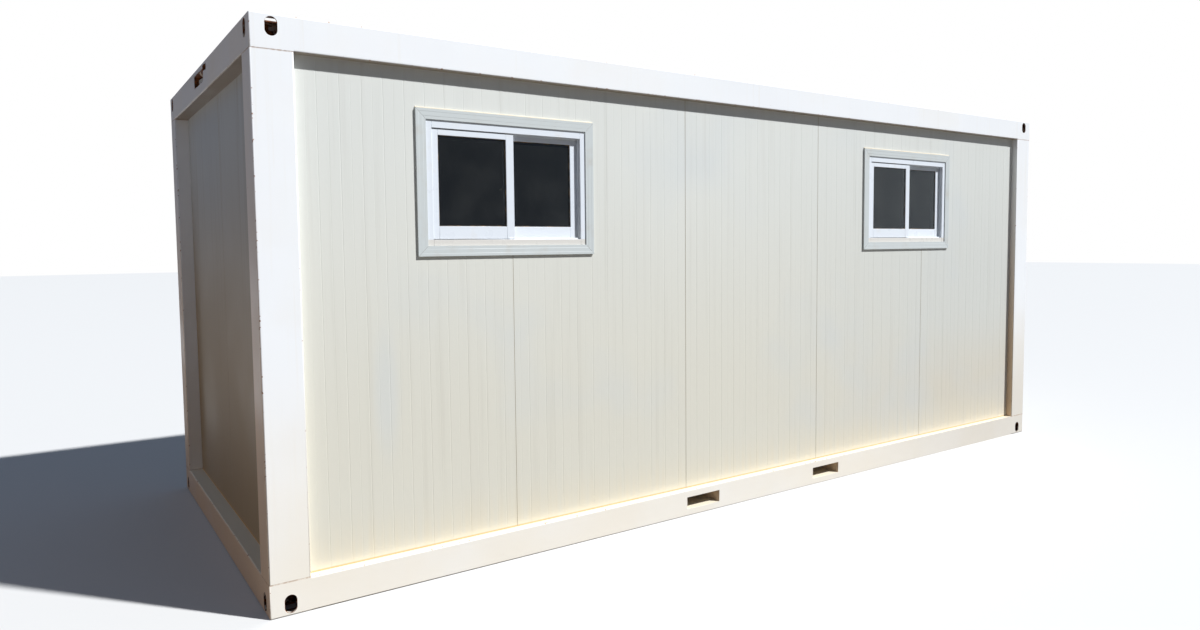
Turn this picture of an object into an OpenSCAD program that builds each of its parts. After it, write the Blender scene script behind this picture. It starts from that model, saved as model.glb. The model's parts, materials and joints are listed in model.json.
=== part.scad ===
// Shipping container cabin: a welded steel frame the size of a 20 ft container,
// closed by sandwich panels, with two sliding windows in its front wall.
// Millimetres. The origin is at the middle of the base, +X runs along the length to the right
// of the front wall, -Y is the front and +Z is up.

/* [Overall] */
// Length over the corner fittings
length = 6058; // [5050:1:7300]
// Width over the corner fittings
width = 2438; // [2030:1:2930]
// Height over the corner fittings
height = 2591; // [2500:1:3110]

/* [Steel frame] */
// Width of a corner post on the long sides
post_w = 178; // [140:1:215]
// Width of a corner post on the ends
post_d = 162; // [140:1:200]
// Height of the base rails and of the fittings under the posts
base_h = 152; // [140:1:185]
// Height of the roof rails and of the fittings on top of the posts
roof_h = 148; // [130:1:180]
// Depth of a rail, from the face of the frame inwards
rail_d = 150; // [140:1:180]

/* [Corner fittings] */
// Plate thickness of a fitting
fitting_t = 6; // [4:1:10]
// Width of the slots in the upright faces
side_slot_w = 51; // [42:1:60]
// Height of the slots in the upright faces
side_slot_h = 79.5; // [66:0.5:90]
// Distance of an upright slot's middle from the frame's edge
side_slot_in = 89; // [75:1:95]
// Distance of an upright slot's middle from the top or the underside
side_slot_up = 52; // [47:1:60]
// Width of the slots in the top and bottom faces
top_slot_w = 63.5; // [52:0.5:70]
// Length of the slots in the top and bottom faces
top_slot_l = 124.5; // [104:0.5:130]
// Distance of a top slot's middle from the frame's end
top_slot_x = 102.5; // [100:0.5:105]
// Distance of a top slot's middle from the frame's long side
top_slot_y = 89.5; // [75:0.5:110]

/* [Fork pockets] */
// Clear width of a fork pocket
pocket_w = 255; // [210:1:306]
// Clear height of a fork pocket
pocket_h = 70; // [58:1:80]
// Height of a pocket's underside above the base
pocket_z = 40; // [20:1:48]
// Distance between the middles of the two pockets
pocket_pitch = 1094; // [900:1:1310]
// Wall thickness of a pocket's tube
pocket_t = 5; // [3:0.5:6]

/* [Walls] */
// Thickness of the sandwich panels
panel_t = 50; // [40:1:60]
// How far the long walls lie behind the frame's face
wall_in = 45; // [30:1:55]
// How far the end walls lie behind the frame's face
end_in = 78; // [60:1:90]
// Cover width of one panel of the long walls
panel_pitch = 1144.5; // [955:0.5:1200]
// Gap between the two panels of an end wall
end_joint = 1; // [0.5:0.5:3]
// Distance of the first panel joint from the frame's left end
first_joint = 1238; // [1030:1:1300]

/* [Windows] */
// Width of a window frame
win_w = 900; // [750:1:1080]
// Height of a window frame
win_h = 600; // [500:1:720]
// Height of a window frame's underside above the base
win_z = 1613; // [1350:1:1640]
// Distance of the left window's middle from the frame's left end
first_window = 1229; // [1030:1:1290]
// Distance between the middles of the two windows
win_pitch = 3264; // [2720:1:3400]
// Width of the outer trim
trim_w = 50; // [40:1:60]
// How far the trim stands in front of the wall
trim_t = 12; // [8:1:20]
// Width of the frame's head
head_w = 38; // [30:1:45]
// Width of the frame's jambs
jamb_w = 31; // [25:1:37]
// Height of the frame's sill
sill_w = 30; // [25:1:36]
// Depth of the window frame
frame_d = 80; // [76:1:96]
// How far the outer sash lies behind the frame's front face
sash_in = 5; // [3:1:12]
// Thickness of a sash
sash_t = 20; // [16:1:24]
// Gap between the outer and the inner sash
track_gap = 2; // [2:1:6]
// Width of the outer sash's stile at the jamb
stile_w = 32; // [26:1:42]
// Width of the inner sash's stile at the jamb
inner_stile_w = 47; // [38:1:55]
// Width of a sash's meeting stile
meeting_w = 43; // [36:1:52]
// Height of a sash's top rail
top_rail_w = 32; // [26:1:40]
// Height of a sash's bottom rail
bottom_rail_w = 65; // [54:1:80]
// Thickness of the glass
glass_t = 5; // [4:0.5:8]

/* [Door] */
// Clear width of the doorway
door_w = 850; // [700:1:1020]
// Clear height of the doorway
door_h = 2020; // [1900:1:2080]
// Width of the door frame's members
door_frame_w = 45; // [35:1:54]
// Thickness of the door leaf
leaf_t = 44; // [36:1:48]
// Gap round the door leaf
leaf_gap = 4; // [3:1:6]

/* [Floor and roof] */
// Thickness of the floor deck
deck_t = 28; // [20:1:34]
// Width of a floor joist
joist_w = 60; // [50:1:72]
// Height of a floor joist
joist_h = 90; // [75:1:100]
// Number of floor joists from a fork pocket to the end
joist_n = 5; // [4:1:6]
// Number of floor joists between the fork pockets
mid_joist_n = 3; // [2:1:4]
// Thickness of the roof sheet
roof_sheet_t = 3; // [2:0.5:4]
// How far the tops of the roof's seams lie below the top of the frame
roof_drop = 40; // [25:1:50]
// Height of the standing seams, from the underside of the roof sheet
seam_h = 25; // [15:1:30]
// Width of a standing seam
seam_w = 12; // [8:1:20]
// Number of standing seams on the roof sheet
seam_n = 9; // [6:1:12]
// Thickness of the ceiling board
ceiling_t = 12; // [9:1:18]

/* [Opening in the left roof rail] */
// Length of the opening
inlet_l = 289; // [240:1:346]
// Height of the opening
inlet_h = 64; // [53:1:70]
// Height of the opening's middle below the top of the frame
inlet_down = 62; // [55:1:70]
// Distance of the opening's middle from the frame's middle, towards the back
inlet_y = 70; // [0:1:200]
// Depth of the opening
inlet_d = 70; // [40:1:100]
// Length of the notch beside the opening
notch_l = 100; // [80:1:120]
// Height of the notch beside the opening
notch_h = 30; // [20:1:34]
// Depth of the notch
notch_d = 35; // [20:1:50]
// How far the notch runs over the end of the opening
notch_lap = 10; // [5:1:20]
// How far the notch rises above the opening
notch_rise = 12; // [5:1:14]

/* [Hidden] */
$fn = 48;
e = 1;        // how far a cutter runs past a face
panel_n = 5;  // panels of a long wall, one module call and node each

frame_white = "#f1f0ee";
wall_grey = "#dddcd2";
trim_grey = "#d0d3d2";
pvc_white = "#e9ecf3";
glass_black = "#24262b";
steel_grey = "#a9abac";
deck_brown = "#8a7a66";

right = length / 2;
back = width / 2;
rail_top = height - roof_h;               // underside of the roof rails
wall_h = rail_top - base_h;               // between the base and the roof rails
side_clear = length - 2 * post_w;         // between the posts on a long side
end_clear = width - 2 * post_d;           // between the posts on an end
inner_y = back - rail_d;                  // inner face of the long rails
inner_x = right - rail_d;                 // inner face of the end rails
wall_y = back - wall_in;                  // outer face of a long wall
end_x = right - end_in;                   // outer face of an end wall
window_left_x = first_window - right;
window_right_x = window_left_x + win_pitch;
win_mid_z = win_z + win_h / 2;
frame_out = trim_t / 2;                   // how far the window frame stands proud of the wall
frame_y = -wall_y - frame_out;            // front face of the window frames
sash_step = sash_t + track_gap;           // from one track to the next
sash_w = (win_w - 2 * jamb_w + meeting_w) / 2;
sash_h = win_h - head_w - sill_w;
sash_z = win_z + sill_w;
glass_h = sash_h - top_rail_w - bottom_rail_w;
glass_t_in = (sash_t - glass_t) / 2;      // the glass lies in the middle of its sash
latch_h = 90;                             // base of the latch
latch_w = 22;
latch_t = 9;
lever_l = 34;                             // lever of the latch
lever_h = 18;
sheet_z = height - roof_drop - seam_h;    // underside of the roof sheet
joist_top = base_h - deck_t;              // the deck lies flush with the base rails
joist_end = side_clear / 2 - joist_w;     // middle of the outermost joist
joist_off = 20;                           // gap between a pocket's tube and the joist beside it
pocket_box_w = pocket_w + 2 * pocket_t;
doorway_w = door_w + 2 * door_frame_w;
doorway_h = door_h + door_frame_w;
leaf_w = door_w - 2 * leaf_gap;
leaf_h = door_h - 2 * leaf_gap;
handle_up = 1020;                         // door handle above the floor
handle_r = 10;                            // half thickness of its neck and lever
handle_in = 65;                           // from the edge of the leaf to the neck
handle_out = 55;                          // how far it stands out from the leaf
lever_reach = 120;                        // length of its lever
plate_w = 40;                             // plate behind it
plate_h = 220;
plate_t = 8;
hinge_r = 8;                              // radius of a hinge's knuckle
hinge_h = 100;
hinge_w = 60;                             // width over both flaps of a hinge
hinge_t = 3;                              // thickness of its flaps
hinge_in = 250;                           // from the top or bottom of the leaf to a hinge
inlet_z = height - inlet_down;

// A box given by its lowest corner and its size
module box(low, size)
{
    translate(low) cube(size);
}

// A box centred on x, with its front face at y and its underside at z
module slab(x, y, z, size)
{
    box([x - size[0] / 2, y, z], size);
}

// A rounded slot through a plate, cut along +Y from y = 0, upright and centred on x = z = 0
module upright_slot(w, h, depth)
{
    run = h - w;
    for (s = [-1, 1])
        translate([0, 0, s * run / 2]) rotate([-90, 0, 0]) cylinder(d = w, h = depth);
    translate([-w / 2, 0, -run / 2]) cube([w, depth, run]);
}

// A rounded slot along X, cut upwards from z = 0
module flat_slot(w, l, depth)
{
    run = l - w;
    for (s = [-1, 1])
        translate([s * run / 2, 0, 0]) cylinder(d = w, h = depth);
    translate([-run / 2, -w / 2, 0]) cube([run, w, depth]);
}

// Copy to one of the four corners: sx and sy are -1 or 1, the child is drawn for -X -Y
module at_corner(sx, sy)
{
    mirror([sx > 0 ? 1 : 0, 0, 0]) mirror([0, sy > 0 ? 1 : 0, 0]) children();
}

// Base rail of a long side, drawn for the front, with the fork pockets cut through it
module long_base_rail()
{
    color(frame_white) difference()
    {
        slab(0, -back, 0, [side_clear, rail_d, base_h]);
        for (s = [-1, 1])
            slab(s * pocket_pitch / 2, -back - e, pocket_z, [pocket_w, rail_d + 2 * e, pocket_h]);
    }
}

module base_rail_front()
{
    long_base_rail();
}

module base_rail_back()
{
    mirror([0, 1, 0]) long_base_rail();
}

// Base rail of an end, drawn for the left
module end_base_rail()
{
    color(frame_white) box([-right, -end_clear / 2, 0], [rail_d, end_clear, base_h]);
}

module base_rail_left()
{
    end_base_rail();
}

module base_rail_right()
{
    mirror([1, 0, 0]) end_base_rail();
}

module roof_rail_front()
{
    color(frame_white) slab(0, -back, rail_top, [side_clear, rail_d, roof_h]);
}

module roof_rail_back()
{
    color(frame_white) slab(0, inner_y, rail_top, [side_clear, rail_d, roof_h]);
}

// Roof rail of an end, drawn for the left
module end_roof_rail()
{
    color(frame_white) box([-right, -end_clear / 2, rail_top], [rail_d, end_clear, roof_h]);
}

// The left rail has an opening for the supply cable, with a torn notch at its upper front corner
module roof_rail_left()
{
    color(frame_white) difference()
    {
        end_roof_rail();
        box([-right - e, inlet_y - inlet_l / 2, inlet_z - inlet_h / 2], [inlet_d + e, inlet_l, inlet_h]);
        box([-right - e, inlet_y - inlet_l / 2 + notch_lap - notch_l,
             inlet_z + inlet_h / 2 + notch_rise - notch_h], [notch_d + e, notch_l, notch_h]);
    }
}

module roof_rail_right()
{
    mirror([1, 0, 0]) end_roof_rail();
}

// Corner post, drawn for the front left corner
module post()
{
    color(frame_white) box([-right, -back, base_h], [post_w, post_d, wall_h]);
}

module post_front_left()
{
    at_corner(-1, -1) post();
}

module post_front_right()
{
    at_corner(1, -1) post();
}

module post_back_left()
{
    at_corner(-1, 1) post();
}

module post_back_right()
{
    at_corner(1, 1) post();
}

// Corner fitting, drawn for the front left corner with its slotted flat face down, at z = 0
module fitting(h)
{
    color(frame_white) difference()
    {
        box([-right, -back, 0], [post_w, post_d, h]);
        box([-right + fitting_t, -back + fitting_t, fitting_t],
            [post_w - 2 * fitting_t, post_d - 2 * fitting_t, h - 2 * fitting_t]);
        translate([-right + side_slot_in, -back - e, side_slot_up])
            upright_slot(side_slot_w, side_slot_h, fitting_t + 2 * e);
        translate([-right - e, -back + side_slot_in, side_slot_up])
            rotate([0, 0, -90]) upright_slot(side_slot_w, side_slot_h, fitting_t + 2 * e);
        translate([-right + top_slot_x, -back + top_slot_y, -e])
            flat_slot(top_slot_w, top_slot_l, fitting_t + 2 * e);
    }
}

// The same fitting upside down under the roof's top face
module top_fitting()
{
    translate([0, 0, height]) mirror([0, 0, 1]) fitting(roof_h);
}

module base_fitting_front_left()
{
    at_corner(-1, -1) fitting(base_h);
}

module base_fitting_front_right()
{
    at_corner(1, -1) fitting(base_h);
}

module base_fitting_back_left()
{
    at_corner(-1, 1) fitting(base_h);
}

module base_fitting_back_right()
{
    at_corner(1, 1) fitting(base_h);
}

module top_fitting_front_left()
{
    at_corner(-1, -1) top_fitting();
}

module top_fitting_front_right()
{
    at_corner(1, -1) top_fitting();
}

module top_fitting_back_left()
{
    at_corner(-1, 1) top_fitting();
}

module top_fitting_back_right()
{
    at_corner(1, 1) top_fitting();
}

// Tube of a fork pocket, from one long base rail to the other
module fork_pocket(x)
{
    color(steel_grey) difference()
    {
        slab(x, -inner_y, pocket_z - pocket_t, [pocket_box_w, 2 * inner_y, pocket_h + 2 * pocket_t]);
        slab(x, -inner_y - e, pocket_z, [pocket_w, 2 * inner_y + 2 * e, pocket_h]);
    }
}

module fork_pocket_left()
{
    fork_pocket(-pocket_pitch / 2);
}

module fork_pocket_right()
{
    fork_pocket(pocket_pitch / 2);
}

// Evenly spaced joists from rail to rail under the deck, the first at from and the last at to
module joist_bay(from, to, count)
{
    for (i = [0 : count - 1])
        slab(from + i * (to - from) / (count - 1), -inner_y, joist_top - joist_h,
             [joist_w, 2 * inner_y, joist_h]);
}

// Joists stand beside both fork pockets, with even bays out to the ends and in the middle
module floor_joists()
{
    beside = (pocket_box_w + joist_w) / 2 + joist_off;
    color(steel_grey)
    {
        joist_bay(-joist_end, -pocket_pitch / 2 - beside, joist_n);
        joist_bay(-pocket_pitch / 2 + beside, pocket_pitch / 2 - beside, mid_joist_n);
        joist_bay(pocket_pitch / 2 + beside, joist_end, joist_n);
    }
}

// Board of thickness t between the rails, with its corners notched round the fittings
module notched_board(z, t)
{
    difference()
    {
        slab(0, -inner_y, z, [2 * inner_x, 2 * inner_y, t]);
        fitting_corners(z - e, t + 2 * e);
    }
}

// The corners that the fittings take up, from z upwards
module fitting_corners(z, h)
{
    for (sx = [-1, 1])
        for (sy = [-1, 1])
            at_corner(sx, sy) box([-right, -back, z], [post_w, post_d, h]);
}

module floor_deck()
{
    color(deck_brown) notched_board(joist_top, deck_t);
}

// Roof sheet between the rails
module roof_sheet()
{
    color(steel_grey) notched_board(sheet_z, roof_sheet_t);
}

// Seams that stand on the roof sheet, evenly spaced and across the cabin
module roof_seams()
{
    step = 2 * inner_x / (seam_n + 1);
    color(steel_grey) for (i = [1 : seam_n])
        slab(-inner_x + i * step, -inner_y, sheet_z + roof_sheet_t,
             [seam_w, 2 * inner_y, seam_h - roof_sheet_t]);
}

module ceiling()
{
    color(wall_grey) notched_board(rail_top, ceiling_t);
}

// Left edge of panel i of a long wall: the post, or the joint before it
function panel_edge(i) = i <= 0 ? -right + post_w
                       : i >= panel_n ? right - post_w
                       : -right + first_joint + (i - 1) * panel_pitch;

// Panel i of a long wall, drawn for the front without its window openings
module long_panel(i)
{
    x = panel_edge(i);
    box([x, -wall_y, base_h], [panel_edge(i + 1) - x, panel_t, wall_h]);
}

module front_panel(i)
{
    color(wall_grey) difference()
    {
        long_panel(i);
        for (x = [window_left_x, window_right_x])
            slab(x, -wall_y - e, win_z, [win_w, panel_t + 2 * e, win_h]);
    }
}

module back_panel(i)
{
    color(wall_grey) mirror([0, 1, 0]) long_panel(i);
}

// Two panels of an end wall, drawn for the left end
module end_wall()
{
    for (s = [0, 1])
        box([-end_x, (s - 1) * end_clear / 2 + s * end_joint / 2, base_h],
            [panel_t, (end_clear - end_joint) / 2, wall_h]);
}

module left_end_panels()
{
    color(wall_grey) end_wall();
}

// The right end wall leaves the doorway open
module right_end_panels()
{
    color(wall_grey) difference()
    {
        mirror([1, 0, 0]) end_wall();
        box([end_x - panel_t - e, -doorway_w / 2, base_h - e], [panel_t + 2 * e, doorway_w, doorway_h + e]);
    }
}

// Ring standing upright: outer size, widths of its left, right, bottom and top members
module ring(x, y, z, w, d, h, left_w, right_w, bottom_w, top_w)
{
    difference()
    {
        slab(x, y, z, [w, d, h]);
        box([x - w / 2 + left_w, y - e, z + bottom_w],
            [w - left_w - right_w, d + 2 * e, h - bottom_w - top_w]);
    }
}

module window_trim(x)
{
    color(trim_grey) ring(x, -wall_y - trim_t, win_z - trim_w, win_w + 2 * trim_w, trim_t,
                          win_h + 2 * trim_w, trim_w, trim_w, trim_w, trim_w);
}

module window_frame(x)
{
    color(pvc_white) ring(x, frame_y, win_z, win_w, frame_d, win_h, jamb_w, jamb_w, sill_w, head_w);
}

// Front face of the sash on a side: -1 is the outer one on the left, 1 the inner one on the right
function sash_y(side) = frame_y + sash_in + (side < 0 ? 0 : sash_step);

// The outer sash closes the left half and the inner sash the right half
module window_sash(x, side)
{
    outer = side < 0;
    mid = x + side * (sash_w - meeting_w) / 2;
    color(pvc_white) ring(mid, sash_y(side), sash_z, sash_w, sash_t, sash_h,
                          outer ? stile_w : meeting_w, outer ? meeting_w : inner_stile_w,
                          bottom_rail_w, top_rail_w);
}

// Both panes of a window, each seated in its sash
module window_glass(x)
{
    color(glass_black) for (side = [-1, 1])
    {
        w = sash_w - meeting_w - (side < 0 ? stile_w : inner_stile_w);
        slab(x + side * (meeting_w + w) / 2, sash_y(side) + glass_t_in, sash_z + bottom_rail_w,
             [w, glass_t, glass_h]);
    }
}

// Crescent latch on the room side of the inner sash's meeting stile
module window_latch(x)
{
    y = sash_y(1) + sash_t;
    color(pvc_white) union()
    {
        slab(x, y, win_mid_z - latch_h / 2, [latch_w, latch_t, latch_h]);
        translate([x, y, win_mid_z]) rotate([-90, 0, 0]) cylinder(d = latch_w, h = 2 * latch_t);
        box([x - lever_l, y + latch_t, win_mid_z - lever_h / 2], [lever_l, latch_t, lever_h]);
    }
}

module window_left_trim()
{
    window_trim(window_left_x);
}

module window_left_frame()
{
    window_frame(window_left_x);
}

module window_left_outer_sash()
{
    window_sash(window_left_x, -1);
}

module window_left_inner_sash()
{
    window_sash(window_left_x, 1);
}

module window_left_glass()
{
    window_glass(window_left_x);
}

module window_right_trim()
{
    window_trim(window_right_x);
}

module window_right_frame()
{
    window_frame(window_right_x);
}

module window_right_outer_sash()
{
    window_sash(window_right_x, -1);
}

module window_right_inner_sash()
{
    window_sash(window_right_x, 1);
}

module window_right_glass()
{
    window_glass(window_right_x);
}

module window_latches()
{
    window_latch(window_left_x);
    window_latch(window_right_x);
}

// Frame round the doorway in the right end wall, standing on the base rail
module door_frame()
{
    color(pvc_white) difference()
    {
        box([end_x - panel_t, -doorway_w / 2, base_h], [panel_t, doorway_w, doorway_h]);
        box([end_x - panel_t - e, -door_w / 2, base_h - e], [panel_t + 2 * e, door_w, door_h + e]);
    }
}

module door_leaf()
{
    color(pvc_white)
        box([end_x - leaf_t, -leaf_w / 2, base_h + leaf_gap], [leaf_t, leaf_w, leaf_h]);
}

// A lever handle on each face of the leaf: long plate, neck and lever
module door_handles()
{
    color(steel_grey) for (side = [0, 1])
        translate([end_x - side * leaf_t, leaf_w / 2 - handle_in, base_h + handle_up])
            rotate([0, side == 0 ? 90 : -90, 0]) union()
            {
                translate([-plate_h / 2, -plate_w / 2, 0]) cube([plate_h, plate_w, plate_t]);
                cylinder(r = handle_r, h = handle_out);
                translate([-handle_r, -lever_reach, handle_out - 2 * handle_r])
                    cube([2 * handle_r, lever_reach, 2 * handle_r]);
            }
}

// Three lift-off hinges, each a knuckle on two flaps that span the joint of leaf and frame
module door_hinges()
{
    color(steel_grey) for (z = [hinge_in, leaf_h / 2, leaf_h - hinge_in])
        translate([end_x, -door_w / 2 + leaf_gap / 2, base_h + z - hinge_h / 2]) union()
        {
            translate([0, -hinge_w / 2, 0]) cube([hinge_t, hinge_w, hinge_h]);
            translate([hinge_r, 0, 0]) cylinder(r = hinge_r, h = hinge_h);
        }
}

base_rail_front();
base_rail_back();
base_rail_left();
base_rail_right();
roof_rail_front();
roof_rail_back();
roof_rail_left();
roof_rail_right();
post_front_left();
post_front_right();
post_back_left();
post_back_right();
base_fitting_front_left();
base_fitting_front_right();
base_fitting_back_left();
base_fitting_back_right();
top_fitting_front_left();
top_fitting_front_right();
top_fitting_back_left();
top_fitting_back_right();
fork_pocket_left();
fork_pocket_right();
floor_joists();
floor_deck();
roof_sheet();
roof_seams();
ceiling();
front_panel(0);  // front_panel_1
front_panel(1);  // front_panel_2
front_panel(2);  // front_panel_3
front_panel(3);  // front_panel_4
front_panel(4);  // front_panel_5
back_panel(0);  // back_panel_1
back_panel(1);  // back_panel_2
back_panel(2);  // back_panel_3
back_panel(3);  // back_panel_4
back_panel(4);  // back_panel_5
left_end_panels();
right_end_panels();
window_left_trim();
window_left_frame();
window_left_outer_sash();
window_left_inner_sash();
window_left_glass();
window_right_trim();
window_right_frame();
window_right_outer_sash();
window_right_inner_sash();
window_right_glass();
window_latches();
door_frame();
door_leaf();
door_handles();
door_hinges();
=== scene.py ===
"""Looks of a shipping container cabin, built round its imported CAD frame.

Every piece takes its place and size from the CAD nodes that it stands for. The classes below hold
one sub-assembly each, the finishes one real surface each, and main() builds them in order.
"""
import json
import logging
import math
import random
from collections.abc import Iterable
from dataclasses import dataclass
from enum import Enum
from typing import Any

import bmesh
import bpy
from mathutils import Matrix, Vector


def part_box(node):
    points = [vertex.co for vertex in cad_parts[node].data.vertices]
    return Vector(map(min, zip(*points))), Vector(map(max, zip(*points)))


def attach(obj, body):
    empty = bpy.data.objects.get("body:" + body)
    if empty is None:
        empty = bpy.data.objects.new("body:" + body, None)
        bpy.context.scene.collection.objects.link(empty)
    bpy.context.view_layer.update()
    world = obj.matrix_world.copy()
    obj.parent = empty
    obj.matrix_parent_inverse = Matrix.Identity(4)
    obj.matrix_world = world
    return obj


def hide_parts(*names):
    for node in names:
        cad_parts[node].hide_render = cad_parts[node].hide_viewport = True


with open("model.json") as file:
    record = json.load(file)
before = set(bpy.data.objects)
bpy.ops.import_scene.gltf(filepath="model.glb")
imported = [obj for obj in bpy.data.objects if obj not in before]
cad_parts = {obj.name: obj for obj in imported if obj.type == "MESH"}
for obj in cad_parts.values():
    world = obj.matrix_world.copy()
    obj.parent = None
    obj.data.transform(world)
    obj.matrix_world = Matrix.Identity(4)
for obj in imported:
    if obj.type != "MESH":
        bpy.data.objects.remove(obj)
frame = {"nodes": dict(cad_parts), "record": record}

LOG = logging.getLogger("cabin")
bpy.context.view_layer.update()       # bring the imported CAD model up to date, before any piece is replaced
MM = 0.001
SHARP = math.radians(30)    # edges that turn less than this are left alone
TOUCH = 0.02 * MM           # vertices nearer than this are the same vertex
BODY = "root"               # a building has no joints, so every piece rides on the one body
DIE_LINE_W = 1.6 * MM       # fine lines that the die leaves along an extrusion
DIE_LINE_D = 0.5 * MM
MITRE_RUN = 2 * MM          # an edge that runs further than this both across and up is a mitre


# ---------------------------------------------------------------------------------------------
# Sides, boxes and bmesh helpers
# ---------------------------------------------------------------------------------------------

class Side(Enum):
    """A side of an upright box, as the axis it faces along and the sign of that axis."""

    LEFT = (0, -1)
    RIGHT = (0, 1)
    FRONT = (1, -1)
    BACK = (1, 1)
    BOTTOM = (2, -1)
    TOP = (2, 1)

    @property
    def axis(self) -> int:
        """Index of the axis that this side faces along."""
        return self.value[0]

    @property
    def sign(self) -> int:
        """1 where this side faces up its axis, -1 where it faces down it."""
        return self.value[1]

    @property
    def normal(self) -> Vector:
        """Unit vector that points out of this side."""
        out = Vector((0.0, 0.0, 0.0))
        out[self.axis] = float(self.sign)
        return out


@dataclass(frozen=True)
class Box:
    """An upright box from its lowest to its highest corner, in metres."""

    low: Vector
    high: Vector

    @classmethod
    def of(cls, node: str, turn: Matrix | None = None) -> "Box":
        """Box of a CAD node, seen in a frame that was turned about the origin.

        Args:
            node: name of the CAD node.
            turn: rotation of the frame; none leaves the node's own box.

        Returns:
            The node's box in that frame.
        """
        low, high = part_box(node)
        if turn is None:
            return cls(low, high)
        back = turn.inverted()
        a, b = back @ low, back @ high
        return cls(Vector(map(min, a, b)), Vector(map(max, a, b)))

    @property
    def size(self) -> Vector:
        """Length of the box along each axis."""
        return self.high - self.low

    @property
    def middle(self) -> Vector:
        """Middle point of the box."""
        return (self.low + self.high) / 2

    def level(self, side: Side) -> float:
        """Where a side of the box lies along its own axis."""
        return (self.low if side.sign < 0 else self.high)[side.axis]

    def holds(self, point: Vector, margin: float) -> bool:
        """Whether a point lies inside the box and at least a margin from every side."""
        return all(a + margin < p < b - margin for a, p, b in zip(self.low, point, self.high))


def merged_copy(node: str) -> bmesh.types.BMesh:
    """Copy a CAD node's mesh with its loose triangles joined into whole faces.

    Args:
        node: name of the CAD node.

    Returns:
        A new bmesh in the row frame.
    """
    bm = bmesh.new()
    bm.from_mesh(frame["nodes"][node].data)
    bmesh.ops.remove_doubles(bm, verts=bm.verts, dist=TOUCH)
    bmesh.ops.dissolve_limit(bm, angle_limit=math.radians(1), verts=bm.verts, edges=bm.edges)
    for face in bm.faces:
        face.material_index = 0
        face.smooth = False
    return bm


def add_box(bm: bmesh.types.BMesh, box: Box) -> list[bmesh.types.BMVert]:
    """Add an upright box to a bmesh and return its vertices."""
    verts = bmesh.ops.create_cube(bm, size=1.0)["verts"]
    bmesh.ops.scale(bm, vec=box.size, verts=verts)
    bmesh.ops.translate(bm, vec=box.middle, verts=verts)
    return verts


def add_rod(bm: bmesh.types.BMesh, start: Vector, end: Vector, radius: float,
            sides: int = 20) -> list[bmesh.types.BMVert]:
    """Add a closed round rod from one point to another.

    Args:
        bm: bmesh that the rod is added to.
        start: middle of one end.
        end: middle of the other end.
        radius: radius of the rod.
        sides: number of faces round it.

    Returns:
        The rod's vertices.
    """
    run = end - start
    verts = bmesh.ops.create_cone(bm, cap_ends=True, segments=sides, radius1=radius, radius2=radius,
                                  depth=run.length)["verts"]
    turn = run.to_track_quat("Z", "Y").to_matrix().to_4x4()
    bmesh.ops.transform(bm, matrix=Matrix.Translation((start + end) / 2) @ turn, verts=verts)
    return verts


def absorb(bm: bmesh.types.BMesh, part: bmesh.types.BMesh) -> None:
    """Move everything in one bmesh into another."""
    carrier = bpy.data.meshes.new("carrier")
    part.to_mesh(carrier)
    part.free()
    bm.from_mesh(carrier)
    bpy.data.meshes.remove(carrier)


def is_sharp(edge: bmesh.types.BMEdge) -> bool:
    """Whether two faces meet at this edge and turn by more than the sharp angle."""
    return edge.is_manifold and edge.calc_face_angle(0.0) > SHARP


def on_side(edge: bmesh.types.BMEdge, box: Box, side: Side) -> bool:
    """Whether an edge lies in the plane of a box's side."""
    level = box.level(side)
    return all(abs(vert.co[side.axis] - level) < TOUCH for vert in edge.verts)


def rim_edges(bm: bmesh.types.BMesh, box: Box, sides: Iterable[Side]) -> list[bmesh.types.BMEdge]:
    """Find the edges where two of the named sides of a box meet.

    Args:
        bm: bmesh to look through.
        box: the box that the mesh fills.
        sides: the sides to look at.

    Returns:
        The sharp edges that lie in two of those sides at once.
    """
    named = list(sides)
    return [e for e in bm.edges if is_sharp(e) and sum(on_side(e, box, s) for s in named) > 1]


def soften(bm: bmesh.types.BMesh, edges: list[bmesh.types.BMEdge], radius: float,
           segments: int = 2, material: int = -1) -> list[bmesh.types.BMFace]:
    """Round edges off, with the rounding smooth and the flat faces left flat.

    Args:
        bm: bmesh to change.
        edges: edges to round.
        radius: size of the rounding.
        segments: faces across the rounding.
        material: material index of the rounding, or -1 for that of its neighbours.

    Returns:
        The faces of the rounding.
    """
    made = bmesh.ops.bevel(bm, geom=edges, offset=radius, offset_type="OFFSET", segments=segments,
                           profile=0.5, affect="EDGES", clamp_overlap=True, material=material)
    for face in made["faces"]:
        face.smooth = True
    return made["faces"]


def score(bm: bmesh.types.BMesh, box: Box, side: Side, across: int, at: float, width: float,
          depth: float) -> None:
    """Press a straight V groove into one side of a slab.

    Args:
        bm: bmesh to change.
        box: the slab's box.
        side: the side that takes the groove.
        across: axis across the groove.
        at: where the groove's middle lies along that axis.
        width: width of the groove.
        depth: depth of the groove.
    """
    normal = Vector((0.0, 0.0, 0.0))
    normal[across] = 1.0
    for place in (at - width / 2, at, at + width / 2):
        bmesh.ops.bisect_plane(bm, geom=bm.verts[:] + bm.edges[:] + bm.faces[:], dist=TOUCH / 4,
                               plane_co=normal * place, plane_no=normal)
    level = box.level(side)
    bed = [v for v in bm.verts
           if abs(v.co[across] - at) < TOUCH and abs(v.co[side.axis] - level) < TOUCH]
    bmesh.ops.translate(bm, vec=-side.normal * depth, verts=bed)


def cut_off(bm: bmesh.types.BMesh, point: Vector, normal: Vector) -> None:
    """Cut away what lies beyond a plane and close the cut."""
    bmesh.ops.bisect_plane(bm, geom=bm.verts[:] + bm.edges[:] + bm.faces[:], dist=TOUCH / 4,
                           plane_co=point, plane_no=normal, clear_outer=True)
    bmesh.ops.holes_fill(bm, edges=[e for e in bm.edges if e.is_boundary], sides=0)


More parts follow.
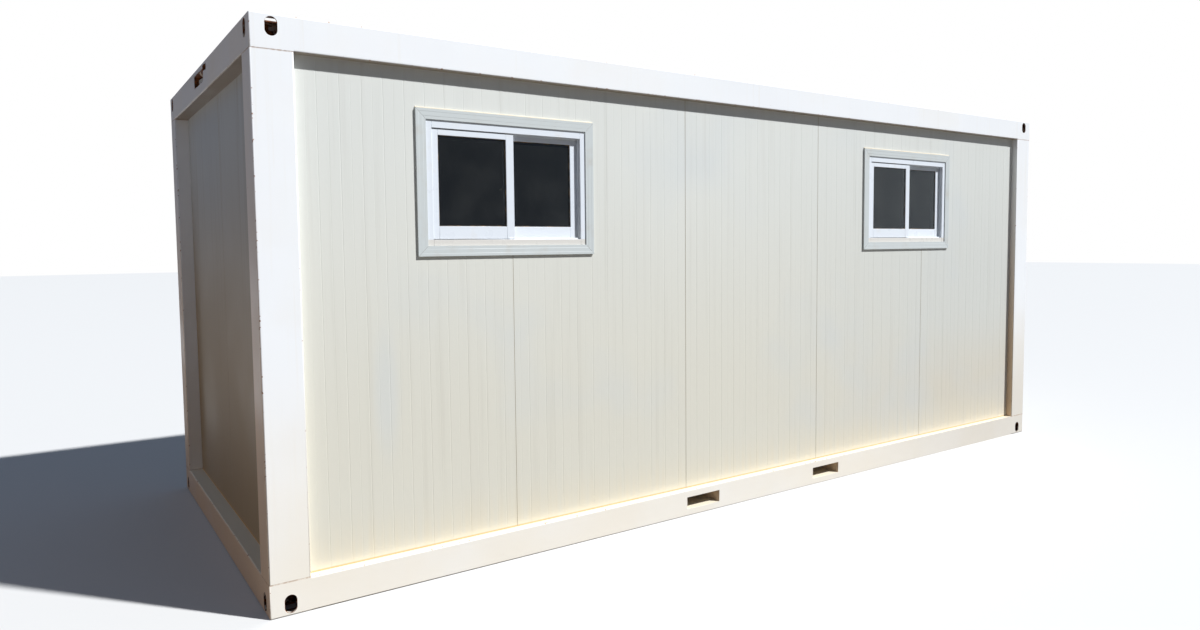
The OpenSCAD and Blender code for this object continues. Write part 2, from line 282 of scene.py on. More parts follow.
def is_mitre(edge: bmesh.types.BMEdge) -> bool:
    """Whether an edge runs aslant in the upright plane of a mitred ring."""
    run = edge.verts[1].co - edge.verts[0].co
    return min(abs(run.x), abs(run.z)) > MITRE_RUN


@dataclass(frozen=True)
class Widths:
    """Widths of the four members of a ring, in metres."""

    left: float
    right: float
    bottom: float
    top: float


def mitred_ring(bm: bmesh.types.BMesh, box: Box, widths: Widths, radius: float,
                lines: tuple[float, ...] = (), open_bottom: bool = False) -> None:
    """Add an upright ring of four members that meet at mitres, facing the front.

    Args:
        bm: bmesh that the ring is added to.
        box: outer box of the ring.
        widths: widths of its members.
        radius: rounding of every member's edges, which also shows the mitres as fine lines.
        lines: shares of a member's width at which a fine line runs along its front.
        open_bottom: leaves the bottom member out, for a door frame that stands on the floor.
    """
    low, high = box.low, box.high
    inner_low = Vector((low.x + widths.left, low.y, low.z + widths.bottom))
    inner_high = Vector((high.x - widths.right, high.y, high.z - widths.top))
    members = {
        Side.LEFT: Box(low, Vector((inner_low.x, high.y, high.z))),
        Side.RIGHT: Box(Vector((inner_high.x, low.y, low.z)), high),
        Side.BOTTOM: Box(low, Vector((high.x, high.y, inner_low.z))),
        Side.TOP: Box(Vector((low.x, low.y, inner_high.z)), high),
    }
    if open_bottom:
        members.pop(Side.BOTTOM)
    for side, member in members.items():
        part = bmesh.new()
        add_box(part, member)
        for share in lines:
            across = side.axis
            at = member.low[across] + share * member.size[across]
            score(part, member, Side.FRONT, across, at, DIE_LINE_W, DIE_LINE_D)
        corners = [(low.x, inner_low.x, low.z, inner_low.z, -1, -1),
                   (high.x, inner_high.x, low.z, inner_low.z, 1, -1),
                   (low.x, inner_low.x, high.z, inner_high.z, -1, 1),
                   (high.x, inner_high.x, high.z, inner_high.z, 1, 1)]
        for outer_x, inner_x, outer_z, inner_z, sign_x, sign_z in corners:
            reaches = sign_z if side.axis == 0 else sign_x
            mine = sign_x if side.axis == 0 else sign_z
            if mine != side.sign or (open_bottom and sign_z < 0):
                continue
            mitre = Vector((outer_x - inner_x, 0, outer_z - inner_z)).normalized()
            normal = Vector((mitre.z, 0, -mitre.x))
            along = 2 if side.axis == 0 else 0
            if normal[along] * reaches < 0:
                normal.negate()
            cut_off(part, Vector((inner_x, low.y, inner_z)), normal)
        for face in soften(part, [e for e in part.edges if is_sharp(e)], radius, 2):
            if is_mitre(max(face.edges, key=bmesh.types.BMEdge.calc_length)):
                face.material_index = 1
        bmesh.ops.dissolve_degenerate(part, dist=TOUCH, edges=part.edges)
        absorb(bm, part)


def publish(bm: bmesh.types.BMesh, name: str, finishes: "list[Finish]",
            nodes: Iterable[str] = ()) -> bpy.types.Object:
    """Turn a bmesh into a finished piece of the object.

    Args:
        bm: the piece's shape in the row frame; it is freed.
        name: name of the piece.
        finishes: its finishes, in the order of its material indices.
        nodes: CAD nodes that it stands for.

    Returns:
        The new object, riding on the body.
    """
    mesh = bpy.data.meshes.new(name)
    bm.to_mesh(mesh)
    bm.free()
    for finish in finishes:
        mesh.materials.append(finish.material())
    piece = bpy.data.objects.new(name, mesh)
    bpy.context.scene.collection.objects.link(piece)
    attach(piece, BODY)
    if nodes:
        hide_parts(*nodes)
    LOG.info("%s: %d faces", name, len(mesh.polygons))
    return piece


# ---------------------------------------------------------------------------------------------
# Finishes
# ---------------------------------------------------------------------------------------------

def linear(hex_colour: str) -> tuple[float, float, float, float]:
    """Turn an sRGB colour such as "#f0eee8" into linear red, green, blue and alpha."""
    shares = [int(hex_colour[i:i + 2], 16) / 255 for i in (1, 3, 5)]
    curved = [s / 12.92 if s <= 0.04045 else ((s + 0.055) / 1.055) ** 2.4 for s in shares]
    return (curved[0], curved[1], curved[2], 1.0)


def add_node(tree: bpy.types.NodeTree, kind: str, inputs: dict[str | int, Any] | None = None,
             **settings: Any) -> bpy.types.Node:
    """Add a node with its settings, values and links.

    Args:
        tree: node tree that it is added to.
        kind: type of the node without its ShaderNode prefix.
        inputs: value of each input socket by name or number, or the output socket to link to it.
        settings: properties of the node.

    Returns:
        The new node.
    """
    node = tree.nodes.new("ShaderNode" + kind)
    for key, value in settings.items():
        setattr(node, key, value)
    for key, value in (inputs or {}).items():
        if isinstance(value, bpy.types.NodeSocket):
            tree.links.new(value, node.inputs[key])
        else:
            node.inputs[key].default_value = value
    return node


@dataclass(frozen=True)
class Finish:
    """A real surface as a procedural material, made once and shared by its pieces."""

    name: str

    def material(self) -> bpy.types.Material:
        """Give the finish's material, and make it the first time."""
        made = bpy.data.materials.get(self.name)
        if made is None:
            made = bpy.data.materials.new(self.name)
            made.use_nodes = True
            made.node_tree.nodes.clear()
            surface = self.shade(made.node_tree)
            add_node(made.node_tree, "OutputMaterial", {"Surface": surface})
        return made

    def shade(self, tree: bpy.types.NodeTree) -> bpy.types.NodeSocket:
        """Build the shader and return its output socket."""
        raise NotImplementedError


def mixed(tree: bpy.types.NodeTree, share: Any, first: Any, second: Any) -> bpy.types.NodeSocket:
    """Blend two colours by a share from 0 to 1 and return the blend."""
    return add_node(tree, "Mix", {0: share, 6: first, 7: second}, data_type="RGBA").outputs[2]


def faded(tree: bpy.types.NodeTree, value: Any, start: float, end: float,
          low: float = 0.0, high: float = 1.0) -> bpy.types.NodeSocket:
    """Map a value from start..end to low..high with soft ends and return the result."""
    inputs = {"Value": value, "From Min": start, "From Max": end, "To Min": low, "To Max": high}
    return add_node(tree, "MapRange", inputs, interpolation_type="SMOOTHSTEP").outputs["Result"]


def times(tree: bpy.types.NodeTree, first: Any, second: Any) -> bpy.types.NodeSocket:
    """Multiply two values and return the product."""
    return add_node(tree, "Math", {0: first, 1: second}, operation="MULTIPLY").outputs[0]


def facing(tree: bpy.types.NodeTree, axis: str, start: float, end: float,
           most: float) -> bpy.types.NodeSocket:
    """Find where a surface faces along an axis, as a share from 0 to most.

    Args:
        tree: node tree that the nodes are added to.
        axis: X, Y or Z.
        start: part of the normal along the axis where the share starts.
        end: part of the normal where it is full.
        most: the full share.

    Returns:
        The share.
    """
    normal = add_node(tree, "SeparateXYZ", {0: add_node(tree, "NewGeometry").outputs["Normal"]})
    return faded(tree, normal.outputs[axis], start, end, 0.0, most)


def left_side_shade(tree: bpy.types.NodeTree, height: Any, most: float) -> bpy.types.NodeSocket:
    """Find the share of painted shade on what faces left, warm like ground bounce and more the lower
    it is.
    """
    return times(tree, facing(tree, "X", -0.4, -0.9, most), faded(tree, height, 2.4, 0.8))


@dataclass(frozen=True)
class SprayedEnamel(Finish):
    """Alkyd enamel sprayed on welded steel: bright white, slightly uneven, dusty near the ground."""

    white: str = "#f5f6f6"
    cream: str = "#ece6da"
    dust: str = "#f2eadb"
    aged: str = "#d3cbbe"
    # warm brown of painted shade on the left-facing side, strongest near the ground
    left_shade: str = "#d8b48a"
    # warm brown of painted shade under faces that look down, with some grime
    underside_shade_and_grime: str = "#8d7b66"
    settled: str = "#f3e7cb"
    rust: str = "#9a6a3c"
    seams: tuple[float, ...] = ()
    chips: float = 0.0
    seam_rust: tuple[float, float] = (5 * MM, 1 * MM)
    peel_depth: float = 0.6 * MM
    wave_depth: float = 8 * MM

    def shade(self, tree: bpy.types.NodeTree) -> bpy.types.NodeSocket:
        """Build the enamel with its dust, streaks, rusty seams, chips and painted shade."""
        place = add_node(tree, "TexCoord").outputs["Object"]
        split = add_node(tree, "SeparateXYZ", {0: place})
        height, along = split.outputs["Z"], split.outputs["X"]
        cloudy = add_node(tree, "TexNoise", {"Vector": place, "Scale": 2.2, "Detail": 4.0})
        colour = mixed(tree, faded(tree, cloudy.outputs[0], 0.45, 0.75, 0.0, 0.25),
                       linear(self.white), linear(self.cream))
        # rain carries dust down in streaks about 25 mm wide
        drawn = add_node(tree, "Mapping", {"Vector": place, "Scale": (40.0, 40.0, 1.2)})
        streaks = add_node(tree, "TexNoise", {"Vector": drawn.outputs[0], "Scale": 1.0, "Detail": 3.0})
        colour = mixed(tree, faded(tree, streaks.outputs[0], 0.56, 0.8, 0.0, 0.25), colour,
                       linear(self.cream))
        low = faded(tree, height, 1.3, 0.05)
        dusty = times(tree, low, faded(tree, cloudy.outputs[0], 0.2, 0.7, 0.7, 1.0))
        colour = mixed(tree, dusty, colour, linear(self.dust))
        colour = mixed(tree, times(tree, low, faded(tree, along, 0.5, 2.6, 0.0, 0.6)), colour,
                       linear(self.aged))
        # painted shade: what faces left turns warm brown, more the lower it is
        colour = mixed(tree, left_side_shade(tree, height, 0.75), colour, linear(self.left_shade))
        # painted shade: faces that look down darken towards warm brown, partly shade and partly grime
        colour = mixed(tree, facing(tree, "Z", -0.4, -0.9, 0.85), colour,
                       linear(self.underside_shade_and_grime))
        colour = mixed(tree, facing(tree, "Z", 0.5, 0.9, 0.8), colour, linear(self.settled))
        specks = add_node(tree, "TexNoise", {"Vector": place, "Scale": 55.0, "Detail": 3.0})
        rusty: Any = faded(tree, specks.outputs[0], 0.74, 0.8, 0.0, 0.5)
        for level in self.seams:
            off = add_node(tree, "Math", {0: height, 1: level}, operation="SUBTRACT").outputs[0]
            near = faded(tree, add_node(tree, "Math", {0: off}, operation="ABSOLUTE").outputs[0],
                         *self.seam_rust)
            line = times(tree, near, faded(tree, specks.outputs[0], 0.3, 0.6, 0.1, 0.6))
            rusty = add_node(tree, "Math", {0: rusty, 1: line}, operation="MAXIMUM").outputs[0]
        if self.chips:
            chipped = faded(tree, specks.outputs[0], 0.62 - self.chips, 0.66 - self.chips, 0.0, 0.8)
            rusty = add_node(tree, "Math", {0: rusty, 1: chipped}, operation="MAXIMUM").outputs[0]
        colour = mixed(tree, rusty, colour, linear(self.rust))
        # orange peel of a thick spray coat, about 4 mm from crest to crest, over slightly wavy plate
        peel = add_node(tree, "TexNoise", {"Vector": place, "Scale": 250.0, "Detail": 2.0})
        plate = add_node(tree, "TexNoise", {"Vector": place, "Scale": 3.0, "Detail": 1.0})
        fine = add_node(tree, "Bump", {"Height": peel.outputs[0], "Strength": 0.12,
                                       "Distance": self.peel_depth})
        bump = add_node(tree, "Bump", {"Height": plate.outputs[0], "Strength": 0.25,
                                       "Distance": self.wave_depth, "Normal": fine.outputs[0]})
        rough = faded(tree, cloudy.outputs[0], 0.3, 0.7, 0.38, 0.55)
        return add_node(tree, "BsdfPrincipled", {"Base Color": colour, "Roughness": rough,
                                                 "Normal": bump.outputs[0]}).outputs[0]


@dataclass(frozen=True)
class CoatedSheet(Finish):
    """Coil-coated steel skin of a sandwich panel: satin warm grey, streaked by rain and dust."""

    paint: str = "#dfe0d9"
    tanned: str = "#dad6c7"
    aged: str = "#cdcfca"
    aged_low: str = "#cfc6b4"
    bluish: str = "#cbd1d3"
    dust: str = "#e2d7be"
    # warm brown of painted shade on the left-facing side, strongest near the ground
    left_shade: str = "#997f58"
    rust: str = "#cfa35c"
    grime: str = "#8d8573"
    foot: float = 0.152
    grimy: float = 0.12
    smudge: tuple[float, float, float] = (-2.47, -1.17, 0.93)
    smudge_size: tuple[float, float, float] = (0.09, 0.4, 0.42)
    foot_line: tuple[float, float] = (11 * MM, 4 * MM)
    wave_depth: float = 10 * MM

    def shade(self, tree: bpy.types.NodeTree) -> bpy.types.NodeSocket:
        """Build the coating with its streaks, stains, painted shade on the left side and the rust line
        at the foot.
        """
        place = add_node(tree, "TexCoord").outputs["Object"]
        split = add_node(tree, "SeparateXYZ", {0: place})
        height, along = split.outputs["Z"], split.outputs["X"]
        cloudy = add_node(tree, "TexNoise", {"Vector": place, "Scale": 0.9, "Detail": 3.0})
        colour = mixed(tree, faded(tree, height, 2.4, 0.5), linear(self.paint), linear(self.tanned))
        aged = mixed(tree, faded(tree, height, 1.1, 0.4), linear(self.aged), linear(self.aged_low))
        colour = mixed(tree, times(tree, faded(tree, along, -0.4, 2.3, 0.0, 0.6),
                                   faded(tree, height, 2.3, 1.3, 0.4, 1.0)), colour, aged)
        colour = mixed(tree, faded(tree, cloudy.outputs[0], 0.52, 0.75, 0.0, 0.4), colour,
                       linear(self.bluish))
        off = add_node(tree, "VectorMath", {0: place, 1: self.smudge}, operation="SUBTRACT")
        reach = add_node(tree, "VectorMath", {0: off.outputs[0], 1: self.smudge_size},
                         operation="DIVIDE")
        away = add_node(tree, "VectorMath", {0: reach.outputs[0]}, operation="LENGTH")
        colour = mixed(tree, faded(tree, away.outputs["Value"], 1.0, 0.2, 0.0, 0.35), colour,
                       linear(self.bluish))
        # streaks of rain, about 30 mm wide and a metre or two long
        drawn = add_node(tree, "Mapping", {"Vector": place, "Scale": (30.0, 30.0, 0.7)})
        streaks = add_node(tree, "TexNoise", {"Vector": drawn.outputs[0], "Scale": 1.0, "Detail": 4.0})
        colour = mixed(tree, faded(tree, streaks.outputs[0], 0.5, 0.85, 0.0, self.grimy), colour,
                       linear(self.grime))
        low = faded(tree, height, self.foot + 0.3, self.foot)
        dusty = times(tree, low, faded(tree, streaks.outputs[0], 0.25, 0.7, 0.3, 0.7))
        colour = mixed(tree, dusty, colour, linear(self.dust))
        # painted shade: what faces left turns warm brown, more the lower it is
        colour = mixed(tree, left_side_shade(tree, height, 0.9), colour, linear(self.left_shade))
        line = faded(tree, height, self.foot + self.foot_line[0],
                     self.foot + self.foot_line[1], 0.0, 0.75)
        colour = mixed(tree, line, colour, linear(self.rust))
        waves = add_node(tree, "TexNoise", {"Vector": place, "Scale": 1.6, "Detail": 1.0})
        bump = add_node(tree, "Bump", {"Height": waves.outputs[0], "Strength": 0.2,
                                       "Distance": self.wave_depth})
        rough = faded(tree, cloudy.outputs[0], 0.3, 0.7, 0.42, 0.6)
        return add_node(tree, "BsdfPrincipled", {"Base Color": colour, "Roughness": rough,
                                                 "Normal": bump.outputs[0]}).outputs[0]


@dataclass(frozen=True)
class CoatedAluminium(Finish):
    """Powder-coated aluminium extrusion: satin light grey with faint lines along the die."""

    grey: str = "#ced3d1"
    dust: str = "#b9a88f"
    grain_depth: float = 0.2 * MM

    def shade(self, tree: bpy.types.NodeTree) -> bpy.types.NodeSocket:
        """Build the coating with dust lying in patches."""
        place = add_node(tree, "TexCoord").outputs["Object"]
        patches = add_node(tree, "TexNoise", {"Vector": place, "Scale": 9.0, "Detail": 5.0})
        colour = mixed(tree, faded(tree, patches.outputs[0], 0.5, 0.8, 0.0, 0.3),
                       linear(self.grey), linear(self.dust))
        grain = add_node(tree, "TexNoise", {"Vector": place, "Scale": 700.0, "Detail": 1.0})
        bump = add_node(tree, "Bump", {"Height": grain.outputs[0], "Strength": 0.1,
                                       "Distance": self.grain_depth})
        return add_node(tree, "BsdfPrincipled", {"Base Color": colour, "Roughness": 0.4,
                                                 "Normal": bump.outputs[0]}).outputs[0]


@dataclass(frozen=True)
class ExtrudedPvc(Finish):
    """Extruded window PVC: cool white with a soft gloss, dusty where water stands."""

    white: str = "#e8edf2"
    dust: str = "#d6c7ac"
    sill: float = 0.0
    washed_over: float = 3 * MM

    def shade(self, tree: bpy.types.NodeTree) -> bpy.types.NodeSocket:
        """Build the plastic with its dust, which is thickest below the height of the sill."""
        place = add_node(tree, "TexCoord").outputs["Object"]
        height = add_node(tree, "SeparateXYZ", {0: place}).outputs["Z"]
        way = add_node(tree, "SeparateXYZ", {0: add_node(tree, "NewGeometry").outputs["Normal"]})
        patches = add_node(tree, "TexNoise", {"Vector": place, "Scale": 14.0, "Detail": 4.0})
        lying = times(tree, faded(tree, way.outputs["Z"], 0.4, 0.95, 0.0, 0.6),
                      faded(tree, patches.outputs[0], 0.3, 0.7))
        settled = add_node(tree, "Math", {0: faded(tree, patches.outputs[0], 0.58, 0.85, 0.0, 0.2),
                                          1: lying}, operation="MAXIMUM").outputs[0]
        washed = faded(tree, height, self.sill + self.washed_over,
                       self.sill - self.washed_over, 0.0, 0.5)
        settled = add_node(tree, "Math", {0: settled, 1: washed}, operation="MAXIMUM").outputs[0]
        colour = mixed(tree, settled, linear(self.white), linear(self.dust))
        rough = faded(tree, patches.outputs[0], 0.3, 0.7, 0.26, 0.4)
        return add_node(tree, "BsdfPrincipled", {"Base Color": colour, "Roughness": rough,
                                                 "IOR": 1.53}).outputs[0]


@dataclass(frozen=True)
class TintedGlass(Finish):
    """Float glass with a grey tint: dark from outside, with a clear sharp reflection."""

    tint: str = "#dce1e1"
    film: str = "#9a9a94"

    def shade(self, tree: bpy.types.NodeTree) -> bpy.types.NodeSocket:
        """Build the glass as a tinted see-through pane under a mirror that grows at a slant."""
        place = add_node(tree, "TexCoord").outputs["Object"]
        through = add_node(tree, "BsdfTransparent", {"Color": linear(self.tint)}).outputs[0]
        mirror = add_node(tree, "BsdfGlossy", {"Color": (1.0, 1.0, 1.0, 1.0),
                                               "Roughness": 0.02}).outputs[0]
        slant = add_node(tree, "Fresnel", {"IOR": 1.52}).outputs[0]
        pane = add_node(tree, "MixShader", {0: slant, 1: through, 2: mirror}).outputs[0]
        wiped = add_node(tree, "TexNoise", {"Vector": place, "Scale": 5.0, "Detail": 5.0})
        dusty = faded(tree, wiped.outputs[0], 0.35, 0.8, 0.02, 0.06)
        dust = add_node(tree, "BsdfDiffuse", {"Color": linear(self.film)}).outputs[0]
        return add_node(tree, "MixShader", {0: dusty, 1: pane, 2: dust}).outputs[0]


@dataclass(frozen=True)
class Rubber(Finish):
    """EPDM glazing rubber: nearly black, dull, greyed by dust."""

    black: str = "#2b2927"
    dust: str = "#8a6f4e"

    def shade(self, tree: bpy.types.NodeTree) -> bpy.types.NodeSocket:
        """Build the rubber with a little dust."""
        place = add_node(tree, "TexCoord").outputs["Object"]
        patches = add_node(tree, "TexNoise", {"Vector": place, "Scale": 30.0, "Detail": 3.0})
        colour = mixed(tree, faded(tree, patches.outputs[0], 0.4, 0.8), linear(self.black),
                       linear(self.dust))
        return add_node(tree, "BsdfPrincipled", {"Base Color": colour,
                                                 "Roughness": 0.8}).outputs[0]


@dataclass(frozen=True)
class BareMetal(Finish):
    """Bare or plated metal with fine scratches, in the colour and roughness of its kind."""

    colour: str = "#c9c6be"
    shadow: str = "#8f8a80"
    roughness: float = 0.32
    spangle: float = 0.0
    metallic: float = 1.0
    grain_depth: float = 0.2 * MM

    def shade(self, tree: bpy.types.NodeTree) -> bpy.types.NodeSocket:
        """Build the metal, with zinc crystals where it is hot-dip galvanised."""
        place = add_node(tree, "TexCoord").outputs["Object"]
        patches = add_node(tree, "TexNoise", {"Vector": place, "Scale": 12.0, "Detail": 5.0})
        share = faded(tree, patches.outputs[0], 0.35, 0.75, 0.0, 0.6)
        rough: Any = faded(tree, patches.outputs[0], 0.3, 0.7, self.roughness - 0.06,
                           self.roughness + 0.1)
        if self.spangle:
            crystals = add_node(tree, "TexVoronoi", {"Vector": place, "Scale": 1 / self.spangle})
            tone = add_node(tree, "SeparateColor", {0: crystals.outputs["Color"]}).outputs[0]
            share = add_node(tree, "Math", {0: share, 1: times(tree, tone, 0.45)},
                             operation="ADD").outputs[0]
            rough = faded(tree, tone, 0.0, 1.0, self.roughness - 0.08, self.roughness + 0.12)
        colour = mixed(tree, share, linear(self.colour), linear(self.shadow))
        brushed = add_node(tree, "Mapping", {"Vector": place, "Scale": (900.0, 900.0, 60.0)})
        lines = add_node(tree, "TexNoise", {"Vector": brushed.outputs[0], "Scale": 1.0})
        bump = add_node(tree, "Bump", {"Height": lines.outputs[0], "Strength": 0.08,
                                       "Distance": self.grain_depth})
        return add_node(tree, "BsdfPrincipled", {"Base Color": colour, "Roughness": rough,
                                                 "Metallic": self.metallic,
                                                 "Normal": bump.outputs[0]}).outputs[0]


@dataclass(frozen=True)
class Rust(Finish):
    """Flaking rust on mild steel: dark brown scale with orange bloom, rough and dull."""

    scale: str = "#4a2c1c"
    bloom: str = "#9a5a2b"
    paint: str = "#d9cfc0"
    painted: float = 0.0
    flake_depth: float = 2 * MM

    def shade(self, tree: bpy.types.NodeTree) -> bpy.types.NodeSocket:
        """Build the rust, under what is left of the paint."""
        place = add_node(tree, "TexCoord").outputs["Object"]
        flakes = add_node(tree, "TexNoise", {"Vector": place, "Scale": 60.0, "Detail": 6.0})
        colour = mixed(tree, faded(tree, flakes.outputs[0], 0.38, 0.64), linear(self.scale),
                       linear(self.bloom))
        if self.painted:
            left = add_node(tree, "TexNoise", {"Vector": place, "Scale": 22.0, "Detail": 4.0})
            kept = faded(tree, left.outputs[0], 0.62 - self.painted, 0.68 - self.painted)
            colour = mixed(tree, kept, colour, linear(self.paint))
        bump = add_node(tree, "Bump", {"Height": flakes.outputs[0], "Strength": 0.6,
                                       "Distance": self.flake_depth})
        return add_node(tree, "BsdfPrincipled", {"Base Color": colour, "Roughness": 0.88,
                                                 "Normal": bump.outputs[0]}).outputs[0]


@dataclass(frozen=True)
class Plywood(Finish):
    """Film-faced plywood: brown veneer with long grain, worn dull."""

    light: str = "#8d7355"
    dark: str = "#5e4a36"
    grain_depth: float = 0.5 * MM

    def shade(self, tree: bpy.types.NodeTree) -> bpy.types.NodeSocket:
        """Build the veneer with its grain along the sheets."""
        place = add_node(tree, "TexCoord").outputs["Object"]
        # grain lines about 8 mm apart, drawn coarser than real veneer so that they show
        drawn = add_node(tree, "Mapping", {"Vector": place, "Scale": (3.0, 60.0, 60.0)})
        grain = add_node(tree, "TexNoise", {"Vector": drawn.outputs[0], "Scale": 2.0, "Detail": 5.0})
        colour = mixed(tree, faded(tree, grain.outputs[0], 0.35, 0.65), linear(self.light),
                       linear(self.dark))
        bump = add_node(tree, "Bump", {"Height": grain.outputs[0], "Strength": 0.2,
                                       "Distance": self.grain_depth})
        return add_node(tree, "BsdfPrincipled", {"Base Color": colour, "Roughness": 0.55,
                                                 "Normal": bump.outputs[0]}).outputs[0]


@dataclass(frozen=True)
class Plain(Finish):
    """Smooth painted or moulded board: one colour, clouded a little by handling."""

    colour: str = "#e6e5df"
    soiled: str = "#c9c2b4"
    roughness: float = 0.5
    peel_depth: float = 0.4 * MM

    def shade(self, tree: bpy.types.NodeTree) -> bpy.types.NodeSocket:
        """Build the board's coating."""
        place = add_node(tree, "TexCoord").outputs["Object"]
        patches = add_node(tree, "TexNoise", {"Vector": place, "Scale": 3.0, "Detail": 5.0})
        colour = mixed(tree, faded(tree, patches.outputs[0], 0.45, 0.8, 0.0, 0.5),
                       linear(self.colour), linear(self.soiled))
        peel = add_node(tree, "TexNoise", {"Vector": place, "Scale": 300.0, "Detail": 1.0})
        bump = add_node(tree, "Bump", {"Height": peel.outputs[0], "Strength": 0.1,
                                       "Distance": self.peel_depth})
        return add_node(tree, "BsdfPrincipled", {"Base Color": colour, "Roughness": self.roughness,
                                                 "Normal": bump.outputs[0]}).outputs[0]


BASE_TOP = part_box("base_rail_front")[1].z       # the walls stand on the base frame here
ROOF_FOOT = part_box("roof_rail_front")[0].z      # and end under the roof frame here
POST_SEAMS = (BASE_TOP, ROOF_FOOT)

ENAMEL = SprayedEnamel("sprayed_enamel")
# dark brown copy of the enamel for the fork-pocket tubes: painted shade of their hollow insides over
# dirt; faces that look up still turn the pale settled colour
ENAMEL_DIRTY_AND_SHADED = SprayedEnamel("sprayed_enamel_dirty", white="#857a6d", cream="#74685a",
                             dust="#85796a", aged="#6f6355")
ENAMEL_WORN = SprayedEnamel("sprayed_enamel_worn_edge", chips=0.004)
ENAMEL_SEAM = SprayedEnamel("sprayed_enamel_welded_seam", seams=POST_SEAMS)
ENAMEL_SEAM_WORN = SprayedEnamel("sprayed_enamel_seam_worn_edge", seams=POST_SEAMS,
                                 chips=0.004)
SHEET = CoatedSheet("coil_coated_sheet", foot=BASE_TOP)
SHEET_GRIMY = CoatedSheet("coil_coated_sheet_grimy", foot=BASE_TOP, grimy=0.4)
# darker copy of the coil-coated sheet for the left end wall: painted shade of that side, with heavier
# dirt streaks
SHEET_SHADED_END = CoatedSheet("coil_coated_sheet_dull", paint="#c6cdd0", tanned="#b3b0a4", foot=BASE_TOP,
                         grimy=0.4)
TRIM = CoatedAluminium("powder_coated_aluminium")
PVC = ExtrudedPvc("extruded_pvc", sill=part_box("window_left_outer_sash")[0].z)
GLASS = TintedGlass("tinted_float_glass")
RUBBER = Rubber("epdm_rubber")
# painted light: pale cream instead of bare metal, so that the latch shows as bright as where the sun
# catches it
LATCH = Plain("cream_coated_zinc", colour="#efe7cf", soiled="#cfc19a", roughness=0.35)
STAINLESS = BareMetal("brushed_stainless_steel", colour="#c8c8c6", shadow="#9c9c9a", roughness=0.3)
ZINC = BareMetal("hot_dip_galvanised_steel", colour="#b3b7ba", shadow="#858a8e", roughness=0.42,
                 spangle=14 * MM)
ROOFING = BareMetal("aluminium_zinc_roof_sheet", colour="#b9bcbc", shadow="#94938c", roughness=0.45,
                    spangle=8 * MM, metallic=0.45)
RUST = Rust("flaking_rust")
RUST_PAINTED = Rust("rust_under_old_paint", painted=0.1)
BOARD = Plywood("film_faced_plywood")
CEILING = Plain("pvc_ceiling_board")
DOOR_SKIN = CoatedSheet("coil_coated_door_skin", foot=BASE_TOP - 0.1, grimy=0.1)
DOOR_WHITE = Plain("powder_coated_door_steel", colour="#e9ebee", soiled="#c8c3b8", roughness=0.42)
SEALANT = Plain("joint_sealant", colour="#b5a98f", soiled="#94836a", roughness=0.8)
MITRE = Plain("mitre_dirt", colour="#857a66", soiled="#6b5d48", roughness=0.8)
SILICONE = Plain("window_silicone", colour="#ecdfc6", soiled="#d3b98f", roughness=0.6)


# ---------------------------------------------------------------------------------------------
# Steel frame
# ---------------------------------------------------------------------------------------------

CORNERS = ((Side.FRONT, Side.LEFT), (Side.FRONT, Side.RIGHT),
           (Side.BACK, Side.LEFT), (Side.BACK, Side.RIGHT))
ENDS = (Side.FRONT, Side.BACK, Side.LEFT, Side.RIGHT)


def mouth_edges(bm: bmesh.types.BMesh, box: Box, side: Side) -> list[bmesh.types.BMEdge]:
    """Find the edges of the openings in one side of a box, and none of its own edges."""
    others = [other for other in Side if other is not side]
    return [e for e in bm.edges if is_sharp(e) and on_side(e, box, side)
            and not any(on_side(e, box, other) for other in others)]


